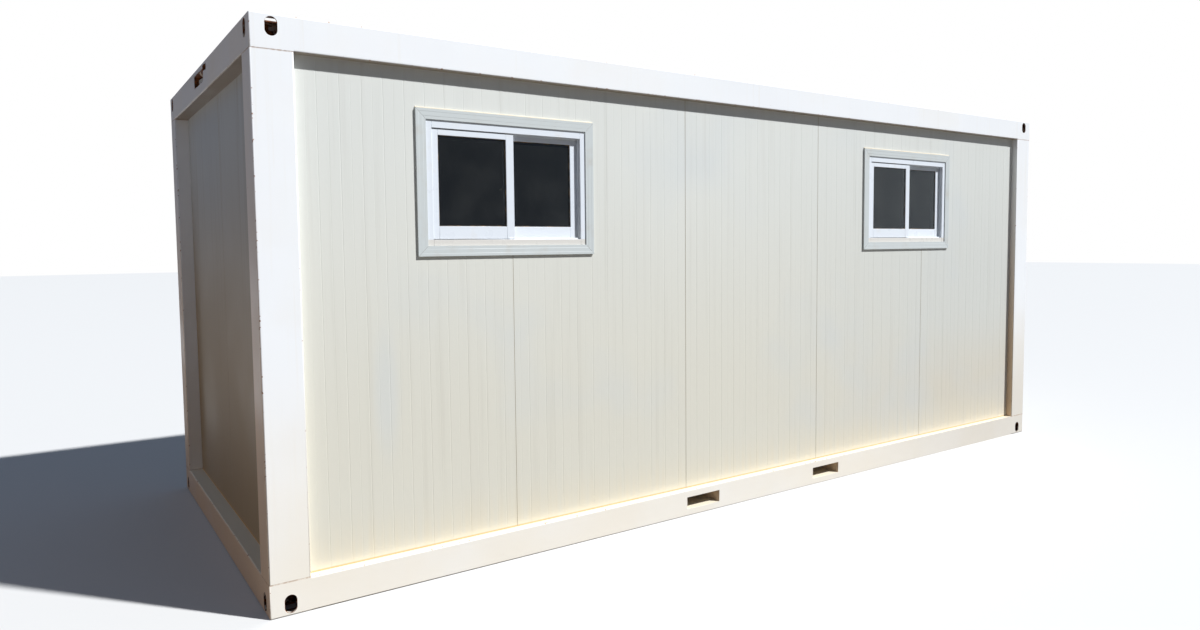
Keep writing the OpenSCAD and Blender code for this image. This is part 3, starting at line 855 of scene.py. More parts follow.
@dataclass
class SteelFrame:
    """Welded frame: rails, posts and slotted corner fittings, with the fork pockets through it."""

    edge_radius: float = 6 * MM
    mouth_radius: float = 1.5 * MM
    seam_radius: float = 1.2 * MM
    torn_cuts: int = 9
    torn_along: float = 3 * MM
    torn_up: float = 3.5 * MM
    torn_seed: int = 7
    rail_inside: float = 1 * MM
    fitting_inside: float = 0.5 * MM

    def build(self) -> None:
        """Build every piece of the frame."""
        for end in ENDS:
            for level in ("base", "roof"):
                if (level, end) != ("roof", Side.LEFT):
                    self.rail(f"{level}_rail_{end.name.lower()}", end)
        self.torn_rail("roof_rail_left", Side.LEFT)
        for corner in CORNERS:
            place = "_".join(side.name.lower() for side in corner)
            self.post(f"post_{place}")
            self.fitting(f"base_fitting_{place}", (*corner, Side.BOTTOM), Side.TOP)
            self.fitting(f"top_fitting_{place}", (*corner, Side.TOP), Side.BOTTOM)
        for hand in ("left", "right"):
            self.fork_pocket(f"fork_pocket_{hand}")

    def rail(self, node: str, outer: Side) -> None:
        """Build a folded box rail with round long edges.

        Args:
            node: CAD node of the rail.
            outer: the side of the cabin that it shows.
        """
        bm, box = merged_copy(node), Box.of(node)
        soften(bm, mouth_edges(bm, box, outer), self.mouth_radius, 2, material=1)
        run = 1 - outer.axis
        long_sides = [side for side in Side if side.axis != run]
        soften(bm, rim_edges(bm, box, long_sides), self.edge_radius, 3, material=1)
        publish(bm, node + "_steel", [ENAMEL, ENAMEL_WORN], [node])

    def torn_rail(self, node: str, outer: Side) -> None:
        """Build the rail whose cable opening was burned out by hand and has rusted since.

        Args:
            node: CAD node of the rail.
            outer: the side of the cabin that it shows.
        """
        bm, box = merged_copy(node), Box.of(node)
        for face in bm.faces:
            if box.holds(face.calc_center_median(), self.rail_inside):
                face.material_index = 2
        torn = bmesh.ops.subdivide_edges(bm, edges=mouth_edges(bm, box, outer),
                                         cuts=self.torn_cuts)
        ragged = random.Random(self.torn_seed)
        for part in torn["geom_inner"]:
            if isinstance(part, bmesh.types.BMVert):
                part.co.y += ragged.uniform(-self.torn_along, self.torn_along)
                part.co.z += ragged.uniform(-self.torn_up, self.torn_up)
        run = 1 - outer.axis
        long_sides = [side for side in Side if side.axis != run]
        soften(bm, rim_edges(bm, box, long_sides), self.edge_radius, 3, material=1)
        publish(bm, node + "_steel", [ENAMEL, ENAMEL_WORN, RUST], [node])

    def post(self, node: str) -> None:
        """Build a corner post with round edges and a fine seam where it meets its fittings."""
        bm, box = merged_copy(node), Box.of(node)
        soften(bm, rim_edges(bm, box, ENDS), self.edge_radius, 3, material=1)
        ends = [e for e in bm.edges if is_sharp(e)
                and (on_side(e, box, Side.TOP) or on_side(e, box, Side.BOTTOM))]
        soften(bm, ends, self.seam_radius, 1, material=1)
        publish(bm, node + "_steel", [ENAMEL_SEAM, ENAMEL_SEAM_WORN], [node])

    def fitting(self, node: str, outer: tuple[Side, Side, Side], seam: Side) -> None:
        """Build a hollow corner fitting with slots through its three outer faces.

        Args:
            node: CAD node of the fitting.
            outer: the three sides that show.
            seam: the side that meets the post.
        """
        bm, box = merged_copy(node), Box.of(node)
        for face in bm.faces:
            if box.holds(face.calc_center_median(), self.fitting_inside):
                face.material_index = 2
        mouths = [e for side in outer for e in mouth_edges(bm, box, side)]
        soften(bm, mouths, self.mouth_radius, 2, material=3)
        soften(bm, rim_edges(bm, box, outer), self.edge_radius, 3, material=1)
        joint = [e for e in bm.edges if is_sharp(e) and on_side(e, box, seam)
                 and any(on_side(e, box, side) for side in outer[:2])]
        soften(bm, joint, self.seam_radius, 1, material=1)
        publish(bm, node + "_steel", [ENAMEL_SEAM, ENAMEL_SEAM_WORN, RUST_PAINTED, RUST],
                [node])

    def fork_pocket(self, node: str) -> None:
        """Build the tube that a fork-lift's tine slides through."""
        bm, box = merged_copy(node), Box.of(node)
        soften(bm, rim_edges(bm, box, (Side.LEFT, Side.RIGHT, Side.TOP, Side.BOTTOM)),
               self.mouth_radius, 2)
        # the tube's enamel is darkened as painted shade inside it, over dirt
        publish(bm, node + "_tube", [ENAMEL_DIRTY_AND_SHADED], [node])


@dataclass
class CableInlet:
    """What is left in the torn opening of the left roof rail: a bent plate and a curled flap."""

    node: str = "roof_rail_left"
    plate_depth: float = 30 * MM
    plate_t: float = 2 * MM
    plate_from: float = 60 * MM
    plate_in: float = 10 * MM
    plate_down: float = 14 * MM
    plate_foot: float = 2 * MM
    plate_turn: float = math.radians(4)
    flap_w: float = 110 * MM
    flap_in: float = 3 * MM
    flap_drop: float = 2 * MM
    flap_curl: float = 22 * MM
    flap_turn: float = math.radians(70)

    def build(self) -> None:
        """Build the plate behind the opening and the flap that was bent out of it."""
        rail = Box.of(self.node)
        mouth = self.mouth(rail)
        bm = bmesh.new()
        x = rail.low.x + self.plate_depth
        add_box(bm, Box(Vector((x, mouth.low.y + self.plate_from, mouth.low.z + self.plate_foot)),
                        Vector((x + self.plate_t, mouth.high.y - self.plate_in,
                                mouth.high.z - self.plate_down))))
        soften(bm, [e for e in bm.edges if is_sharp(e)], self.plate_t / 4, 1)
        bmesh.ops.rotate(bm, cent=mouth.middle, verts=bm.verts,
                         matrix=Matrix.Rotation(self.plate_turn, 3, "Z"))
        publish(bm, "cable_inlet_plate", [TRIM])
        self.flap(mouth)

    def flap(self, mouth: Box) -> None:
        """Build the tongue of rail wall that was bent into the opening."""
        bm = bmesh.new()
        tongue = bmesh.ops.create_grid(bm, x_segments=6, y_segments=1, size=0.5)["verts"]
        bmesh.ops.scale(bm, vec=Vector((self.flap_w, self.plate_t, 1.0)), verts=tongue)
        bmesh.ops.rotate(bm, matrix=Matrix.Rotation(math.radians(90), 3, "Z"), verts=tongue)
        hinge = Vector((mouth.low.x + self.flap_in, mouth.low.y + self.plate_from,
                        mouth.high.z - self.flap_drop))
        bmesh.ops.translate(bm, vec=hinge, verts=tongue)
        centre = hinge + Vector((self.flap_curl, 0, 0))
        bmesh.ops.spin(bm, geom=bm.faces[:], cent=centre, axis=Vector((0, 1, 0)),
                       dvec=Vector((0, 0, 0)), angle=-self.flap_turn, steps=6, use_duplicate=False)
        bmesh.ops.recalc_face_normals(bm, faces=bm.faces)
        publish(bm, "cable_inlet_flap", [RUST_PAINTED])

    @staticmethod
    def mouth(rail: Box) -> Box:
        """Give the box of the opening, from the openings that the record states."""
        stated = frame["record"]["physics"]["openings"]
        low, high = next(o["box_m"] for o in stated if o["name"] == "cable_inlet")
        return Box(Vector((rail.low.x, low[1], low[2])), Vector((high[0], high[1], high[2])))


# ---------------------------------------------------------------------------------------------
# Walls, roof and floor
# ---------------------------------------------------------------------------------------------

@dataclass
class PanelWalls:
    """Sandwich panels with ribbed skins, whose grooves are counted from each panel joint."""

    groove_pitch: float = 100 * MM
    first_groove: float = 84 * MM
    groove_w: float = 5 * MM
    groove_d: float = 0.7 * MM
    first_line: float = 34 * MM
    line_w: float = 3 * MM
    line_d: float = 0.3 * MM
    end_share: float = 0.25
    joint_radius: float = 1.5 * MM
    edge_clear: float = 6 * MM
    panels: int = 5

    def build(self) -> None:
        """Build the panels of all four walls, with shallower grooves in the end walls."""
        cover = Box.of("front_panel_2").size.x
        joint = Box.of("front_panel_2").low.x
        for side in (Side.FRONT, Side.BACK):
            for number in range(1, self.panels + 1):
                self.panel(f"{side.name.lower()}_panel_{number}", side, joint, cover, SHEET)
        # the left end takes the sheet darkened as painted shade
        for side, skin in ((Side.LEFT, SHEET_SHADED_END), (Side.RIGHT, SHEET_GRIMY)):
            self.panel(f"{side.name.lower()}_end_panels", side, 0.0, cover, skin)

    def places(self, low: float, high: float, joint: float, cover: float,
               first: float) -> list[float]:
        """Work out where the grooves of one kind lie.

        Args:
            low: where the panel starts.
            high: where it ends.
            joint: where one panel joint of the wall lies.
            cover: cover width of a panel.
            first: distance of the first groove from a joint.

        Returns:
            The grooves' places along the wall.
        """
        cells = range(math.floor((low - joint) / cover), math.ceil((high - joint) / cover))
        count = int((cover - first) / self.groove_pitch) + 1
        found = [joint + cell * cover + first + i * self.groove_pitch
                 for cell in cells for i in range(count)]
        return [p for p in found if low + self.edge_clear < p < high - self.edge_clear]

    def panel(self, node: str, outer: Side, joint: float, cover: float, skin: Finish) -> None:
        """Build one wall node's panels.

        Args:
            node: CAD node of the panels.
            outer: the side of the cabin that they face.
            joint: where one panel joint of the wall lies.
            cover: cover width of a panel.
            skin: finish of the skins.
        """
        bm, box = merged_copy(node), Box.of(node)
        across = 1 - outer.axis
        low, high = box.low[across], box.high[across]
        share = self.end_share if outer.axis == 0 else 1.0
        for at in self.places(low, high, joint, cover, self.first_groove):
            score(bm, box, outer, across, at, self.groove_w, share * self.groove_d)
        for at in self.places(low, high, joint, cover, self.first_line):
            score(bm, box, outer, across, at, self.line_w, share * self.line_d)
        upright = [e for e in bm.edges if is_sharp(e) and on_side(e, box, outer)
                   and abs(e.verts[0].co.z - e.verts[1].co.z) > cover / 4]
        soften(bm, upright, self.joint_radius, 1, material=1)
        publish(bm, node + "_skins", [skin, SEALANT], [node])


@dataclass
class RoofDeck:
    """Roof sheet lying in the roof frame, with the seams that stand on it and its fixing screws."""

    sheet: str = "roof_sheet"
    seams: str = "roof_seams"
    seam_radius: float = 4 * MM
    screw_r: float = 6 * MM
    screw_h: float = 5 * MM
    washer_r: float = 9 * MM
    washer_t: float = 1 * MM
    screws_in: float = 60 * MM
    bays: int = 10

    def build(self) -> None:
        """Build the sheet, its rolled seams, and the screws that hold it down in its bays."""
        publish(merged_copy(self.sheet), "roof_sheet_steel", [ROOFING],
                [self.sheet])
        bm, box = merged_copy(self.seams), Box.of(self.seams)
        crest = [e for e in bm.edges if is_sharp(e) and on_side(e, box, Side.TOP)
                 and abs(e.verts[0].co.x - e.verts[1].co.x) < TOUCH]
        soften(bm, crest, self.seam_radius, 3)
        publish(bm, "roof_seam_folds", [ROOFING], [self.seams])
        self.screws(Box.of(self.sheet))

    def screws(self, box: Box) -> None:
        """Build the hexagonal screws with their washers."""
        bm = bmesh.new()
        sheet = box.high.z
        bay = box.size.x / self.bays
        for number in range(self.bays):
            for share in (0.3, 0.7):
                for y in (box.low.y + self.screws_in, 0.0, box.high.y - self.screws_in):
                    foot = Vector((box.low.x + (number + share) * bay, y, sheet))
                    head = foot + Vector((0, 0, self.washer_t))
                    add_rod(bm, foot, head, self.washer_r, 12)
                    add_rod(bm, head, head + Vector((0, 0, self.screw_h)), self.screw_r, 6)
        publish(bm, "roof_screws", [STAINLESS])


@dataclass
class Boards:
    """Floor deck and ceiling, laid as sheets with a fine groove at each joint."""

    floor_sheet: float = 1220 * MM
    ceiling_sheet: float = 400 * MM
    groove_w: float = 4 * MM
    groove_d: float = 2 * MM

    def build(self) -> None:
        """Build the deck, seen from inside and below, and the ceiling."""
        self.lay("floor_deck", "floor_deck_boards", self.floor_sheet, BOARD)
        self.lay("ceiling", "ceiling_boards", self.ceiling_sheet, CEILING)

    def lay(self, node: str, name: str, sheet: float, finish: Finish) -> None:
        """Build one layer of boards.

        Args:
            node: CAD node of the layer.
            name: name of the new piece.
            sheet: width of a board.
            finish: the boards' finish.
        """
        bm, box = merged_copy(node), Box.of(node)
        count = int(box.size.x / sheet)
        for number in range(1, count + 1):
            at = box.low.x + number * sheet
            if at < box.high.x - sheet / 4:
                for side in (Side.TOP, Side.BOTTOM):
                    score(bm, box, side, 0, at, self.groove_w, self.groove_d)
        publish(bm, name, [finish], [node])


@dataclass
class Joists:
    """Galvanised channels under the deck, each a box pressed open along one side."""

    node: str = "floor_joists"
    wall: float = 4 * MM
    radius: float = 2 * MM

    def build(self) -> None:
        """Build a channel in the place of each joist."""
        bm = bmesh.new()
        for box in self.boxes():
            part = bmesh.new()
            add_box(part, box)
            open_side = max(part.faces, key=lambda face: face.calc_center_median().x)
            bmesh.ops.inset_region(part, faces=[open_side], thickness=self.wall,
                                   use_even_offset=True)
            pressed = bmesh.ops.extrude_face_region(part, geom=[open_side])["geom"]
            bed = [v for v in pressed if isinstance(v, bmesh.types.BMVert)]
            bmesh.ops.translate(part, vec=Vector((self.wall - box.size.x, 0, 0)), verts=bed)
            bmesh.ops.delete(part, geom=[open_side], context="FACES_ONLY")
            bmesh.ops.recalc_face_normals(part, faces=part.faces)
            long_edges = [e for e in part.edges if is_sharp(e)
                          and abs(e.verts[0].co.y - e.verts[1].co.y) > box.size.y / 2]
            soften(part, long_edges, self.radius / 2, 1)
            absorb(bm, part)
        publish(bm, "floor_joist_channels", [ZINC], [self.node])

    def boxes(self) -> list[Box]:
        """Find the box of each joist in the CAD node."""
        bm = merged_copy(self.node)
        left, found = set(bm.verts), []
        while left:
            reached, edge_of = set(), [left.pop()]
            while edge_of:
                vert = edge_of.pop()
                reached.add(vert)
                near = {e.other_vert(vert) for e in vert.link_edges} & left
                left -= near
                edge_of.extend(near)
            points = [v.co for v in reached]
            found.append(Box(Vector(tuple(min(p[i] for p in points) for i in range(3))),
                             Vector(tuple(max(p[i] for p in points) for i in range(3)))))
        bm.free()
        return sorted(found, key=lambda box: box.low.x)


# ---------------------------------------------------------------------------------------------
# Windows
# ---------------------------------------------------------------------------------------------

def butted_ring(bm: bmesh.types.BMesh, box: Box, widths: Widths, radius: float,
                open_bottom: bool = False) -> None:
    """Add an upright ring whose stiles run its full height, with the rails between them.

    Args:
        bm: bmesh that the ring is added to.
        box: outer box of the ring.
        widths: widths of its members.
        radius: rounding of every member's edges, which also shows the joints as fine lines.
        open_bottom: leaves the bottom rail out.
    """
    low, high = box.low, box.high
    in_low, in_high = low.x + widths.left, high.x - widths.right
    members = [Box(low, Vector((in_low, high.y, high.z))),
               Box(Vector((in_high, low.y, low.z)), high),
               Box(Vector((in_low, low.y, high.z - widths.top)), Vector((in_high, high.y, high.z)))]
    if not open_bottom:
        members.append(Box(Vector((in_low, low.y, low.z)),
                           Vector((in_high, high.y, low.z + widths.bottom))))
    for member in members:
        part = bmesh.new()
        add_box(part, member)
        soften(part, [e for e in part.edges if is_sharp(e)], radius, 2)
        absorb(bm, part)


@dataclass
class SlidingWindow:
    """Two-leaf sliding window with an outer trim; its leaves run in two tracks behind each other."""

    hand: str
    play: float = 3 * MM
    trim_radius: float = 1.2 * MM
    profile_radius: float = 1.5 * MM
    track_w: float = 3 * MM
    track_h: float = 8 * MM
    track_radius: float = 0.6 * MM
    glass_t: float = 5 * MM
    glass_edge: float = 0.5 * MM
    gasket_w: float = 4 * MM
    gasket_d: float = 3 * MM
    gasket_radius: float = 0.8 * MM
    bead: float = 6 * MM
    stop_size: tuple[float, float, float] = (26 * MM, 8 * MM, 9 * MM)
    stop_radius: float = 2 * MM
    stop_in: float = 2 * MM

    def __post_init__(self) -> None:
        """Look up the boxes that every part of the window is measured from."""
        self.trim_box = self.box("trim")
        self.frame_box = self.box("frame")
        self.outer = self.box("outer_sash")
        self.inner = self.box("inner_sash")
        self.glass = self.box("glass")

    def box(self, part: str) -> Box:
        """Give the box of one of the window's CAD nodes."""
        return Box.of(self.node(part))

    def node(self, part: str) -> str:
        """Give the name of one of the window's CAD nodes."""
        return f"window_{self.hand}_{part}"

    def build(self) -> None:
        """Build every piece of the window but its latch."""
        self.trim()
        self.frame()
        self.sash("outer_sash", self.outer, first=True)
        self.sash("inner_sash", self.inner, first=False)
        self.panes()

    def trim(self) -> None:
        """Build the mitred trim round the frame, with fine lines along each member."""
        width = self.frame_box.low.x - self.trim_box.low.x
        bm = bmesh.new()
        mitred_ring(bm, self.trim_box, Widths(width, width, width, width), self.trim_radius,
                    lines=(0.3, 0.72))
        publish(bm, self.node("trim") + "_members", [TRIM, MITRE],
                [self.node("trim")])
        self.silicone()

    def silicone(self) -> None:
        """Build the bead of silicone that seals the top of the trim to the wall."""
        low = Vector((self.trim_box.low.x, self.trim_box.high.y - self.bead, self.trim_box.high.z))
        bm = bmesh.new()
        add_box(bm, Box(low, Vector((self.trim_box.high.x, self.trim_box.high.y,
                                     low.z + self.bead))))
        soften(bm, [e for e in bm.edges if is_sharp(e)], self.bead / 3, 2)
        publish(bm, self.node("trim") + "_silicone", [SILICONE])

    def frame(self) -> None:
        """Build the frame with the tracks that show beside the leaves and the stop on the sill."""
        box = self.frame_box
        jamb = self.outer.low.x - box.low.x
        sill, head = self.outer.low.z - box.low.z, box.high.z - self.outer.high.z
        bm = bmesh.new()
        butted_ring(bm, box, Widths(jamb, jamb, sill, head), self.profile_radius)
        for leaf, start, end, stile in ((self.outer, self.outer.high.x, self.inner.high.x, 1),
                                        (self.inner, self.outer.low.x, self.inner.low.x, -1)):
            self.track(bm, leaf.middle.y, start, end, stile)
        stop = Vector(self.stop_size)
        foot = Vector((box.middle.x - stop.x / 2, box.low.y + self.stop_in, self.outer.low.z))
        part = bmesh.new()
        add_box(part, Box(foot, foot + stop))
        soften(part, [e for e in part.edges if is_sharp(e)], self.stop_radius, 2)
        absorb(bm, part)
        publish(bm, self.node("frame") + "_profiles", [PVC], [self.node("frame")])

    def track(self, bm: bmesh.types.BMesh, y: float, start: float, end: float, jamb: int) -> None:
        """Add the stretch of one track that its leaf leaves bare.

        Args:
            bm: bmesh that the track is added to.
            y: middle of the track.
            start: where the bare stretch starts.
            end: where it ends.
            jamb: 1 where the right jamb carries its upright stretch, -1 for the left.
        """
        low, high = self.outer.low.z, self.outer.high.z
        near, far = y - self.track_w / 2, y + self.track_w / 2
        upright = (end - self.track_h, end) if jamb > 0 else (start, start + self.track_h)
        for box in (Box(Vector((start, near, low)), Vector((end, far, low + self.track_h))),
                    Box(Vector((start, near, high - self.track_h)), Vector((end, far, high))),
                    Box(Vector((upright[0], near, low + self.track_h)),
                        Vector((upright[1], far, high - self.track_h)))):
            part = bmesh.new()
            add_box(part, box)
            soften(part, [e for e in part.edges if is_sharp(e)], self.track_radius, 1)
            absorb(bm, part)

    def sash(self, part: str, box: Box, first: bool) -> None:
        """Build one leaf with its glazing rubber.

        Args:
            part: name of the leaf's CAD node.
            box: box of that node.
            first: whether it is the leaf on the left, in the outer track.
        """
        meeting = self.outer.high.x - self.inner.low.x
        stile = (self.glass.low.x - box.low.x) if first else (box.high.x - self.glass.high.x)
        widths = Widths(stile if first else meeting, meeting if first else stile,
                        self.glass.low.z - box.low.z - self.play,
                        box.high.z - self.glass.high.z - self.play)
        slack = Vector((0, 0, self.play))
        bm = bmesh.new()
        butted_ring(bm, Box(box.low + slack, box.high - slack), widths, self.profile_radius)
        publish(bm, self.node(part) + "_profiles", [PVC], [self.node(part)])
        self.gaskets(part, box, widths)

    def gaskets(self, part: str, box: Box, widths: Widths) -> None:
        """Build the rubber that holds a leaf's pane from both sides."""
        bm = bmesh.new()
        for face in (-1, 1):
            near = box.middle.y + face * self.glass_t / 2
            far = near + face * self.gasket_d
            ring = Box(Vector((box.low.x + widths.left, min(near, far), self.glass.low.z)),
                       Vector((box.high.x - widths.right, max(near, far), self.glass.high.z)))
            width = self.gasket_w
            butted_ring(bm, ring, Widths(width, width, width, width), self.gasket_radius)
        publish(bm, self.node(part) + "_gaskets", [RUBBER])

    def panes(self) -> None:
        """Build both panes with ground edges."""
        bm = merged_copy(self.node("glass"))
        soften(bm, [e for e in bm.edges if is_sharp(e)], self.glass_edge, 1)
        publish(bm, self.node("glass") + "_panes", [GLASS], [self.node("glass")])


@dataclass
class CrescentLatches:
    """Crescent latches on the room side of both windows' meeting stiles."""

    node: str = "window_latches"
    plate: tuple[float, float, float] = (22 * MM, 4 * MM, 90 * MM)
    screw_r: float = 4 * MM
    screw_h: float = 1.5 * MM
    screw_at: float = 0.36
    boss_r: float = 10 * MM
    boss_h: float = 10 * MM
    cam_r: float = 17 * MM
    cam_w: float = 7 * MM
    cam_t: float = 5 * MM
    cam_at: float = 3 * MM
    cam_turn: float = math.radians(170)
    lever: tuple[float, float, float] = (40 * MM, 6 * MM, 11 * MM)
    lever_radius: float = 2.5 * MM
    lever_at: float = 8 * MM
    lever_turn: float = math.radians(-35)

    def build(self, windows: "list[SlidingWindow]") -> None:
        """Build one latch on each window and let the piece stand for the CAD node.

        Args:
            windows: the windows that carry the latches.
        """
        bm = bmesh.new()
        for window in windows:
            self.latch(bm, Vector((window.frame_box.middle.x, window.inner.high.y,
                                   window.frame_box.middle.z)))
        publish(bm, "window_latch_crescents", [LATCH], [self.node])

    def latch(self, bm: bmesh.types.BMesh, seat: Vector) -> None:
        """Add one latch: base plate, two screws, turning boss, crescent cam and lever.

        Args:
            bm: bmesh that the latch is added to.
            seat: where the middle of its base plate touches the stile.
        """
        size = Vector(self.plate)
        part = bmesh.new()
        low = seat - Vector((size.x / 2, 0, size.z / 2))
        add_box(part, Box(low, low + size))
        upright = [e for e in part.edges if abs(e.verts[0].co.y - e.verts[1].co.y) > MM]
        soften(part, upright, size.x * 0.45, 6)
        absorb(bm, part)
        out = Vector((0, 1, 0))
        for sign in (-1, 1):
            head = seat + Vector((0, size.y, sign * size.z * self.screw_at))
            add_rod(bm, head, head + out * self.screw_h, self.screw_r, 12)
        face = seat + out * size.y
        add_rod(bm, face, face + out * self.boss_h, self.boss_r, 24)
        part = bmesh.new()
        flat = bmesh.ops.create_grid(part, x_segments=1, y_segments=1, size=0.5)["verts"]
        bmesh.ops.scale(part, vec=Vector((self.cam_w, self.cam_t, 1.0)), verts=flat)
        bmesh.ops.translate(part, vec=Vector((self.cam_r, self.cam_t / 2, 0.0)), verts=flat)
        sheet = part.faces[:]
        bmesh.ops.spin(part, geom=sheet, cent=Vector((0, 0, 0)), axis=out, dvec=Vector((0, 0, 0)),
                       angle=self.cam_turn, steps=14, use_duplicate=False)
        bmesh.ops.holes_fill(part, edges=[e for e in part.edges if e.is_boundary], sides=0)
        bmesh.ops.remove_doubles(part, verts=part.verts, dist=TOUCH)
        bmesh.ops.recalc_face_normals(part, faces=part.faces)
        bmesh.ops.translate(part, vec=face + out * self.cam_at, verts=part.verts)
        absorb(bm, part)
        reach = Vector(self.lever)
        part = bmesh.new()
        add_box(part, Box(Vector((-reach.x, 0, -reach.z / 2)), Vector((0, reach.y, reach.z / 2))))
        soften(part, [e for e in part.edges if is_sharp(e)], self.lever_radius, 3)
        bmesh.ops.rotate(part, matrix=Matrix.Rotation(self.lever_turn, 3, "Y"), verts=part.verts)
        bmesh.ops.translate(part, vec=face + out * self.lever_at, verts=part.verts)
        absorb(bm, part)


# ---------------------------------------------------------------------------------------------
# Door
# ---------------------------------------------------------------------------------------------

@dataclass(frozen=True)
class LeverHandle:
    """Sizes of a lever handle with its plate, rose, lock cylinder and screws."""

    plate_w: float = 40 * MM
    plate_t: float = 8 * MM
    plate_round: float = 12 * MM
    plate_edge: float = 1.5 * MM
    rose_r: float = 17 * MM
    rose_h: float = 6 * MM
    neck_r: float = 9 * MM
    neck_short: float = 10 * MM
    lever_t: float = 18 * MM
    lever_edge: float = 6 * MM
    lock_r: float = 8.5 * MM
    lock_h: float = 3 * MM
    lock_down: float = 72 * MM
    screw_r: float = 4 * MM
    screw_h: float = 1.2 * MM
    screw_off: float = 97 * MM


@dataclass(frozen=True)
class LiftOffHinge:
    """Sizes of a lift-off hinge; screws and knuckles are placed as shares of its size."""

    height: float = 100 * MM
    flap_t: float = 3 * MM
    flap_edge: float = 0.8 * MM
    flap_gap: float = 1 * MM
    knuckle_r: float = 8 * MM
    knuckles: tuple[tuple[float, float], ...] = ((-0.5, -0.18), (-0.16, 0.16), (0.18, 0.5))
    screw_r: float = 3.5 * MM
    screw_h: float = 1 * MM
    screw_across: float = 0.32
    screw_up: tuple[float, ...] = (-0.3, 0.0, 0.3)


